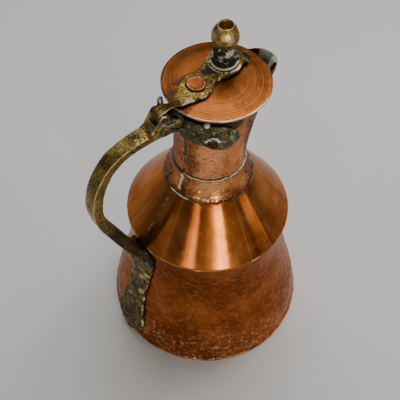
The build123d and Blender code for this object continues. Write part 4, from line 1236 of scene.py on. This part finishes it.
# Lid, strap and rivet
lidShape = {"sheet": 1.2, "edge": 0.85, "step": 33.4, "hollow": 26.2, "flat": 24.6,
            "columns": 320, "groove": 31.4, "ringWave": 0.05, "wave": 0.08,
            "knuckleGrime": (-32, 2, 9), "finialGrime": (12, 10, 22)}
strapShape = {"thickness": 3.0, "rivetX": -13.0, "padHalf": 12.2, "waistHalf": 9.4,
              "armHalf": 2.8, "armShare": 0.52, "bend": -4.3, "knuckle": 4.8,
              "knuckleHalf": 4.15, "finialX": 15.5, "finialY": 7.0, "finialPadHalf": 12.8,
              "finialPadLength": 13.5, "tailLength": 7.0, "tailCurl": 3.0, "rows": 200,
              "columns": 72, "corner": 0.34, "darkRed": (0.5, 6, 11), "cupSide": (8, 17, 9),
              "notch": (3.5, -4.5, 4), "silver": ((-26, -10.5, 267), 6),
              "elbow": ((-37, -7, 262), 7), "cupCrescent": 10.5, "cupShadow": 12.8}
lidCentre = (lid[0][0] + lid[1][0]) / 2
lidRadius = (lid[1][0] - lid[0][0]) / 2
lidUnder, lidTop = lid[0][2], lid[1][2]
strapTop = lidTop + strapShape["thickness"]


def spunLid():
    # The step, the edge and the hollow underside turned round the lid's own axis. Rings of
    # noise over the distance from it push the top along its normals.
    shape = lidShape
    brim, edge = lidUnder + shape["sheet"], shape["edge"]
    shares = np.array([(0.01, 1), (0.3, 1), (0.53, 0.97), (0.68, 0.9), (0.8, 0.79), (0.88, 0.69),
                       (0.94, 0.59), (0.99, 0.49), (1.05, 0.38), (1.12, 0.28)])
    top = shares * (shape["step"], lidTop - brim) + (0, brim)
    top = evenly(smoothLine(top, 120), 0.55)
    turn = np.radians(np.linspace(100, -90, 12))
    r, z = lidRadius - edge * (1 - np.cos(turn)), lidUnder + edge * (1 + np.sin(turn))
    inner = lidTop - shape["sheet"]
    under = evenly([(lidRadius - 2.4, lidUnder), (shape["hollow"], lidUnder),
                    (shape["flat"], inner), (0.3, inner)], 2.5)
    profile = np.concatenate([top, np.stack([r, z], axis=-1), under])
    grid = turned(profile, shape["columns"], (lidCentre, 0))
    above = (np.arange(len(grid)) < len(top) + 4)[:, None]
    r = fromAxis(grid, lidCentre)
    rings = noiseAt(np.stack([r, 0 * r, 0 * r], axis=-1), 1.7, 111) * shape["ringWave"]
    waves = (rings + shape["wave"] * noiseAt(grid, 13, 112)) * rise(r, 10, 16) * above
    grid = pushed(grid, (waves - 0.1 * (r > 3)) * (1 - 0.4 * (r > lidRadius - 1)))
    x, y = grid[..., 0] - lidCentre, grid[..., 1]
    rim = rise(r, lidRadius - 1.6, lidRadius - 0.2)
    strapSide = (1 - rise(np.abs(y), 11, 17)) * (1 - rise(grid[..., 0], 26, 34)) * above
    behind = np.maximum(0.6 * nearColumn(grid, *shape["knuckleGrime"]),
                        0.6 * nearColumn(grid, *shape["finialGrime"]))
    # The rim is brighter towards the front: partly wear, partly a painted highlight.
    front = rise(-0.6 * x - 0.8 * y, 0, 30)
    leftSide = rise(-0.8 * x + 0.6 * y, -6, 18)
    groove = np.exp(-((r - shape["groove"]) / 0.4) ** 2)
    # Darkened: painted shade on the left half and under the lid, darker along a thin ring at the
    # step on the right, and dirt by the strap, the knuckle and the finial.
    dirtAndShade = 0.16 * strapSide + 0.32 * (behind * above) + (1 - above) * 0.4
    dirtAndShade = dirtAndShade + 0.3 * leftSide * above + 0.45 * (1 - leftSide) * groove
    marks = {"wornAndHighlight": rim * (0.5 + 0.5 * front + 0.4 * noiseAt(grid, 9, 113)),
             "grime": limited(dirtAndShade)}
    return addPiece("spunLid", grid, "lid", "lid_disc", lidCopper, marks=marks)


def strapStations():
    # x, middle and half width, from the knuckle to the tail, as in the solid.
    s = strapShape
    pad, length, wide, bend = s["padHalf"], s["finialPadLength"], s["finialPadHalf"], s["bend"]
    rivetX, middle, side, tail = s["rivetX"], s["finialX"], s["finialY"], strapBox[1][0]
    knuckleX, padStart = hinge[0] + s["knuckle"], rivetX - 1.41 * pad
    return np.array([
        (knuckleX, 0, s["knuckleHalf"]),
        (knuckleX + s["armShare"] * (padStart - knuckleX), 0.85 * bend, s["armHalf"]),
        (padStart, bend, 0.4 * pad),
        (rivetX - 1.09 * pad, 0.7 * bend, 0.57 * pad),
        (rivetX - 0.77 * pad, 0.45 * bend, 0.73 * pad),
        (rivetX - 0.45 * pad, 0.22 * bend, 0.87 * pad),
        (rivetX, 0, pad),
        (rivetX + 0.75 * pad, 0.26 * side, 0.77 * pad),
        (middle - 0.9 * length, 0.74 * side, s["waistHalf"]),
        (middle - 0.42 * length, 0.95 * side, 0.95 * wide),
        (middle, side, wide),
        (middle + 0.55 * length, side, 0.82 * wide),
        (middle + 0.93 * length, 0.82 * side, 0.52 * wide),
        (tail - 3.5, 0.55 * side, 0.42 * wide),
        (tail + 1.0, 0.43 * side, 0.5 * wide)])


def strapMiddle():
    # The middle line of the strap's thickness in x and z, from the knuckle to the tail's tip.
    s = strapShape
    lidBack, tail = lidCentre - lidRadius, strapBox[1][0]
    half = s["thickness"] / 2
    curl, level = s["knuckle"] - half, lidTop + half
    turn = np.radians(np.linspace(372, 96, 12))
    points = [(hinge[0] + curl * math.cos(a), hinge[2] + curl * math.sin(a)) for a in turn]
    points += [(hinge[0] + 3.6, hinge[2] + 4.9), (lidBack + 0.6, lidTop - 0.9),
               (lidBack + 5.5, level - 0.2), (lidBack + 9.0, level), (-8, level), (8, level),
               (tail - s["tailLength"] - 1, level), (tail - 2.8, level + 1.1),
               (tail - 1.0, level + s["tailCurl"] - 0.2)]
    return smoothLine(points, s["rows"])


def strapMarks(grid, section, arm):
    # Where the strap is green, bare, darkened or bright, from its edges and from spots on it,
    # with painted shade and painted highlights among them.
    s = strapShape
    x, y, z = grid[..., 0], grid[..., 1], grid[..., 2]
    across, up = section[None, :, 0], section[None, :, 1]
    edge, outermost = rise(np.abs(across), 0.82, 1.0), rise(-across, 0.92, 1.0)
    nearEdge, farEdge = rise(-across, 0.8, 1.0), rise(across, 0.8, 1.0)
    finialPart, tail = rise(x, -4, 3), rise(x, 27, 31)
    padPart = 1 - finialPart
    darkRed, cupSide = nearColumn(grid, *s["darkRed"]), nearColumn(grid, *s["cupSide"])
    notch = nearColumn(grid, *s["notch"])
    silver, elbow = near(grid, *s["silver"]), near(grid, *s["elbow"])
    fromCup = fromAxis(grid, s["finialX"], s["finialY"])
    cupFront = rise(-0.8 * (y - s["finialY"]) - 0.6 * (x - s["finialX"]), 0, 7)
    crescent = cupFront * np.exp(-((fromCup - s["cupCrescent"]) / 0.6) ** 2)
    # A painted shadow in a ring round the cup.
    paintedCupShadow = np.exp(-((fromCup - s["cupShadow"]) / 1.1) ** 2)
    green = 0.48 * nearEdge * (1 - 0.6 * finialPart) + 0.3 * farEdge * finialPart
    green = green + 0.45 * cupSide + (0.42 + 0.4 * noiseAt(grid, 3, 127)) * tail - 0.1 * arm
    bare = 0.7 * silver * rise(-across, 0.7, 1.0) + 0.2 * cupSide * farEdge
    bare = bare + 0.45 * tail * rise(across, 0.3, 0.7) + 0.8 * crescent + 0.6 * notch
    line = outermost * padPart * rise(x, -34, -28) * (0.7 + 0.6 * noiseAt(grid, 4, 125))
    bare = bare + 0.6 * nearEdge * elbow + 0.55 * line
    dirtAndShade = 0.5 * edge * (1 - arm) + 0.8 * darkRed + 0.35 * paintedCupShadow
    dirtAndShade = dirtAndShade + 0.5 * tail * (1 - farEdge) + 0.2 * noiseAt(grid, 7, 123)
    # Painted shade: darker where the strap runs low, round the knuckle in the hinge's recess.
    dirtAndShade = dirtAndShade + 0.35 * rise(-z, -264, -259) * (1 - nearEdge)
    bright = 0.2 * (1 - edge) * padPart + 0.35 * noiseAt(grid, 4, 124)
    bright = bright + 0.35 * finialPart * rise(-y, -1, 2)
    # A painted highlight along the top of the arm's near edge.
    bright = bright + 0.7 * arm * nearEdge * rise(up, -0.2, 0.5)
    return {"green": limited(green), "pale": limited(bare), "grime": limited(dirtAndShade),
            "wornAndHighlight": limited(bright)}


def lidStrap():
    # A rounded oblong carried along the middle line, its width along Y from one side of the
    # outline to the other and its thickness along the line's normal.
    s = strapShape
    stations, line = strapStations(), strapMiddle()
    x, middle, half = stations.T
    far = smoothLine(np.stack([x, middle + half], axis=-1), 400)
    close = smoothLine(np.stack([x, middle - half], axis=-1), 400)
    curled = (line[:, 0] > hinge[0]) & (line[:, 1] > hinge[2] + 3)
    at = np.where(np.arange(len(line)) < np.argmax(curled), hinge[0], line[:, 0])
    high = np.interp(at, far[:, 0], far[:, 1])
    low = np.interp(at, close[:, 0], close[:, 1])
    path = np.stack([line[:, 0], (high + low) / 2, line[:, 1]], axis=-1)
    along = unit(np.gradient(line, axis=0))
    outward = np.stack([-along[:, 1], 0 * along[:, 0], along[:, 0]], axis=-1)
    section = softBox(s["corner"], s["columns"])
    arm = 1 - rise(at, -38, -30)
    curl = 1 - rise(at, hinge[0] + 1, hinge[0] + 7)[:, None]
    last = rise(line[:, 0], line[-1, 0] - 4.5, line[-1, 0])
    wide = (high - low) / 2 * np.sqrt(1 - 0.7 * last)
    thick = s["thickness"] / 2 * (1 - 0.15 * arm)
    grid = carried(path, alongY(path), outward, section, wide, thick)
    upper = rise(section[None, :, 1], -0.5, 0.2)
    flatRivet = nearColumn(grid, s["rivetX"], 0, 9)
    lumps = roughAt(grid, 4.5, 121) * 0.4 + noiseAt(grid, 1.6, 122) * 0.14
    crust = 1 + 2.2 * rise(line[:, 0], 24, 29)[:, None]
    lumps = lumps * upper * (1 - 0.8 * flatRivet) * (1 - 0.8 * curl) * crust
    grid = pushed(grid, lumps - 0.1 - 0.05 * curl)
    return addPiece("lidStrap", grid, "lid", "lid_strap", strapBrass,
                    marks=strapMarks(grid, section, arm[:, None]))


def lidRivet():
    # A shank and a head with a raised ring near its edge, turned on the rivet's own axis.
    s = strapShape
    low, high = boxOf("lid_rivet")
    radius, base = (high[0] - low[0]) / 2, strapTop - lidTop
    profile = np.array([
        (0.15, 0.6), (3.5, 0.6), (3.5, base + 1.2), (radius - 0.4, base + 1.3),
        (radius + 0.1, base + 1.7), (radius - 0.05, base + 2.2), (radius * 0.9, base + 2.75),
        (radius * 0.8, base + 2.95), (radius * 0.68, base + 2.6), (radius * 0.4, base + 2.5),
        (0.15, base + 2.6)])
    profile = evenly(roundedCorners(profile, 0.35, closed=False), 0.4)
    grid = turnedOn(profile, 96, (s["rivetX"], 0, lidTop - 1.2), (0, 0, 1))
    grid = pushed(grid, 0.32 * noiseAt(grid, 4.5, 131) + 0.12 * noiseAt(grid, 1.8, 132) - 0.15)
    r = fromAxis(grid, s["rivetX"])
    ring = plateau(r, radius * 0.62, radius * 0.78, radius * 0.93, radius)
    marks = {"wornAndHighlight": ring * 0.45 * rise(grid[..., 2], strapTop + 0.5, strapTop + 1.0),
             "grime": 0.8 * rise(r, radius * 0.94, radius)}
    return addPiece("lidRivet", grid, "lid", "lid_rivet", rivetCopper, marks=marks)


spunLid()
lidStrap()
lidRivet()
print("lid and strap made")


# Finial
finialShape = {"cupRadius": 10.3, "cupFoot": 9.3, "cupBulge": 0.2, "cupWall": 1.3,
               "cupDepth": 2.0, "moundTop": 5.0, "moundBulge": 9.2, "knobRadius": 9.8,
               "mouth": 5.6, "bore": 4.5, "boreDepth": 9.0, "cupColumns": 110,
               "moundColumns": 90, "knobColumns": 100}
cup, mound, knob = boxOf("finial_cup"), boxOf("finial_solder"), boxOf("finial_knob")
finialX, finialY = ((cup[0] + cup[1]) / 2)[:2]


def finialCup():
    # The cup's outline turned round the finial's axis, its rim raised and lowered by noise.
    s = finialShape
    low, high = cup[0][2], cup[1][2]
    radius, base, depth = s["cupRadius"], s["cupFoot"], high - low
    middle = (base + radius) / 2 + s["cupBulge"]
    inner, floor = radius - s["cupWall"], high - s["cupDepth"]
    outside = [(base, low), (middle, low + 0.5 * depth), (radius - 0.2, high - 0.4)]
    inside = [(radius - 0.5, high), (inner + 0.3, high + 0.05), (inner, high - 0.4),
              (0.85 * inner, floor), (0.2, floor)]
    profile = np.concatenate([[(0.2, low), (base - 0.3, low)], smoothLine(outside, 26), inside])
    grid = turned(evenly(profile, 0.4), s["cupColumns"], (finialX, finialY))
    rim = rise(grid[..., 2], high - 1.0, high - 0.2)
    grid[..., 2] += rim * (0.45 * noiseAt(grid, 4.5, 141) + 0.2 * noiseAt(grid, 1.6, 142) - 0.1)
    lumps = roughAt(grid, 3.5, 143) * 0.3 * rise(grid[..., 2], low + 0.4, low + 1.5)
    grid = pushed(grid, lumps - 0.12)
    x, y = grid[..., 0] - finialX, grid[..., 1] - finialY
    # The cup is darkened all round but for a pale band at the front of its top: painted shade on
    # its wall.
    silver = rise(grid[..., 2], low + 0.3, low + 0.9) * rise(-y * 0.8 - x * 0.6, -2, 4)
    marks = {"pale": limited(silver * (0.9 + 0.4 * noiseAt(grid, 3, 144))),
             "grime": limited((1 - silver) * (0.6 + 0.35 * noiseAt(grid, 4, 145))),
             "green": limited(rise(y * 0.7 - x * 0.7, 1, 7) * 0.55 + 0.1)}
    return addPiece("finialCup", grid, "lid", "finial_cup", castBrass, marks=marks)


def finialSolder():
    # The mound's outline turned round the finial's axis, and pushed along its normals by
    # three layers of noise where it shows.
    s = finialShape
    low, high = mound[0][2], mound[1][2]
    wide, deep, bulge = s["cupRadius"] - s["cupWall"], s["cupDepth"], s["moundBulge"]
    level, above = low + deep, high - low - deep
    hill = [(wide - 0.1, level), (bulge, level + 0.3 * above), (0.88 * bulge, level + 0.68 * above),
            (s["moundTop"], high)]
    base = [(0.2, low), (0.8 * wide, low), (0.96 * wide, low + 0.8 * deep)]
    profile = np.concatenate([base, smoothLine(hill, 30), [(0.2, high)]])
    grid = turned(evenly(profile, 0.4), s["moundColumns"], (finialX, finialY))
    shown = rise(grid[..., 2], level - 0.8, level + 0.8)
    bumps = roughAt(grid, 3.4, 151) * 1.15 + noiseAt(grid, 1.4, 152) * 0.25
    grid = pushed(grid, (bumps - 0.25) * shown - 0.05)
    marks = {"pale": limited(0.2 + 0.8 * roughAt(grid, 2.2, 153)),
             "grime": limited(0.5 - 0.9 * roughAt(grid, 3.4, 151)),
             "green": limited(0.2 + 0.4 * noiseAt(grid, 4, 154)),
             "wornAndHighlight": 0.35 + 0.8 * roughAt(grid, 2.6, 155)}
    return addPiece("finialSolder", grid, "lid", "finial_solder", moundSolder, marks=marks)


def finialKnob():
    # The knob's outline and its bore turned round the finial's axis, made uneven by noise.
    s = finialShape
    low, high = knob[0][2], knob[1][2]
    tall, radius, mouth, bore = high - low, s["knobRadius"], s["mouth"], s["bore"]
    outside = smoothLine([(0.95 * s["moundTop"], low), (0.84 * radius, low + 0.14 * tall),
                          (radius, low + 0.42 * tall), (0.88 * radius, low + 0.72 * tall),
                          (mouth + 0.85, high - 0.9)], 60)
    inside = [(mouth + 0.3, high - 0.25), (mouth - 0.3, high), (bore + 0.5, high - 0.1),
              (bore, high - 0.8), (0.8 * bore, high - s["boreDepth"]), (0.2, high - s["boreDepth"])]
    profile = np.concatenate([[(0.2, low)], outside, inside])
    grid = turned(evenly(profile, 0.42), s["knobColumns"], (finialX, finialY))
    r = fromAxis(grid, finialX, finialY)
    inside = rise(-r, -bore - 0.2, -bore + 0.3) * rise(grid[..., 2], high - 9.5, high - 8)
    grid = pushed(grid, roughAt(grid, 5.0, 161) * 0.25 + noiseAt(grid, 1.5, 162) * 0.1 - 0.15)
    x, y, z = grid[..., 0] - finialX, grid[..., 1] - finialY, grid[..., 2]
    lip = rise(z, high - 1.1, high - 0.3) * (1 - inside)
    base = 1 - rise(z, low, low + 0.3 * tall)
    front = rise(-0.6 * x - 0.8 * y, -4, 6)
    # A painted highlight on the front, and painted shade on the lip away from the front; the knob
    # is also darker at its base.
    bright = 0.4 * inside + 0.5 * front * (1 - 0.4 * lip) + 0.3 * noiseAt(grid, 4, 163)
    dirtAndShade = 0.1 * inside + 0.45 * lip * (1 - front) + 0.4 * base + 0.2 * noiseAt(grid, 6, 164)
    marks = {"wornAndHighlight": limited(bright), "grime": limited(dirtAndShade)}
    return addPiece("finialKnob", grid, "lid", "finial_knob", knobBrass, marks=marks)


finialCup()
finialSolder()
finialKnob()
washer = frame["nodes"]["lid_rivet_rove"]
washer.data.materials.clear()
washer.data.materials.append(rivetCopper[0])
print("finial made")


# Floor, light and camera
studio = {"floor": (0.74, 0.73, 0.72), "floorHalf": 3.0, "world": (0.78, 0.80, 0.83),
          "worldStrength": 0.18, "aim": (0, 0, 0.16), "low": (1, 0.89, 0.7), "high": (1, 1, 1)}
# Each light: azimuth and elevation from the pitcher, distance, width, height and power.
panes = {"overhead": (37, 65, 1.0, 0.9, 0.6, 8.4), "backLeft": (100, 32, 1.5, 0.8, 0.7, 1.0),
         "backRight": (8, 32, 1.5, 0.8, 0.7, 2.4), "leftPane": (-145, 13, 2.0, 0.34, 0.7, 3.1),
         "rightPane": (-108, 13, 2.0, 0.38, 0.8, 8), "frontGlow": (-98, 14, 2.2, 2.6, 1.6, 3),
         "rightGlow": (-52, 16, 2.0, 0.3, 0.9, 2.2), "leftGlow": (176, 14, 2.0, 0.9, 0.9, 0.4)}
# The view that was worked out from the foot, the shoulder, the neck and the lid. Angles are
# in degrees, the place is in foot radii, and focal and picture are in pixels.
viewShape = {"yaw": -0.96494, "pitch": 53.72335, "roll": 1.07029, "turn": 36.5,
             "place": (0, -4.4090394, 7.5118086), "focal": 765.124, "picture": 400, "sensor": 36}


def stageFloor():
    mesh = bpy.data.meshes.new("floor")
    size = studio["floorHalf"]
    corners = [(-size, -size, 0), (size, -size, 0), (size, size, 0), (-size, size, 0)]
    mesh.from_pydata(corners, [], [(0, 1, 2, 3)])
    floor = bpy.data.objects.new("floor", mesh)
    bpy.context.scene.collection.objects.link(floor)
    f = Finish("paleFloor")
    f.close(studio["floor"], 0.6, 0.0, f.noise(3.0) * 0.02)
    mesh.materials.append(f.material)


def softLight(name, place, size, power, colour):
    lamp = bpy.data.lights.new(name, "AREA")
    lamp.shape, lamp.size, lamp.size_y = "RECTANGLE", size[0], size[1]
    lamp.energy, lamp.color = power, colour
    holder = bpy.data.objects.new(name, lamp)
    holder.location = place
    aim = Vector(studio["aim"]) - Vector(place)
    holder.rotation_euler = aim.to_track_quat("-Z", "Y").to_euler()
    bpy.context.scene.collection.objects.link(holder)


def photoCamera():
    shape = viewShape
    yaw, pitch, roll, turn = (math.radians(shape[a]) for a in ("yaw", "pitch", "roll", "turn"))
    level = math.cos(pitch)
    forward = Vector((math.sin(yaw) * level, math.cos(yaw) * level, -math.sin(pitch)))
    right = Vector((math.cos(yaw), -math.sin(yaw), 0))
    up = right.cross(forward)
    right, up = (math.cos(roll) * right + math.sin(roll) * up,
                 math.cos(roll) * up - math.sin(roll) * right)
    spin = Matrix.Rotation(-turn, 3, "Z")
    columns = [spin @ right, spin @ up, spin @ -forward]
    lens = bpy.data.cameras.new("camera")
    lens.sensor_width = shape["sensor"]
    lens.lens = shape["focal"] / shape["picture"] * shape["sensor"]
    view = bpy.data.objects.new("camera", lens)
    view.matrix_world = Matrix([[c[0], c[1], c[2]] for c in zip(*columns)]).to_4x4()
    view.matrix_world.translation = spin @ Vector(shape["place"]) * (footRadius * mm)
    bpy.context.scene.collection.objects.link(view)
    bpy.context.scene.camera = view


def studioLight():
    world = bpy.data.worlds.new("studio")
    bpy.context.scene.world = world
    world.use_nodes = True
    shade = world.node_tree.nodes["Background"]
    shade.inputs[0].default_value = (*studio["world"], 1)
    shade.inputs[1].default_value = studio["worldStrength"]
    for name, (azimuth, height, away, width, tall, power) in panes.items():
        a, e = math.radians(azimuth), math.radians(height)
        level = away * math.cos(e)
        place = (level * math.cos(a), level * math.sin(a), studio["aim"][2] + away * math.sin(e))
        colour = studio["low"] if height < 20 else studio["high"]
        softLight(name, place, (width, tall), power, colour)


stageFloor()
photoCamera()
studioLight()
print("stage made")
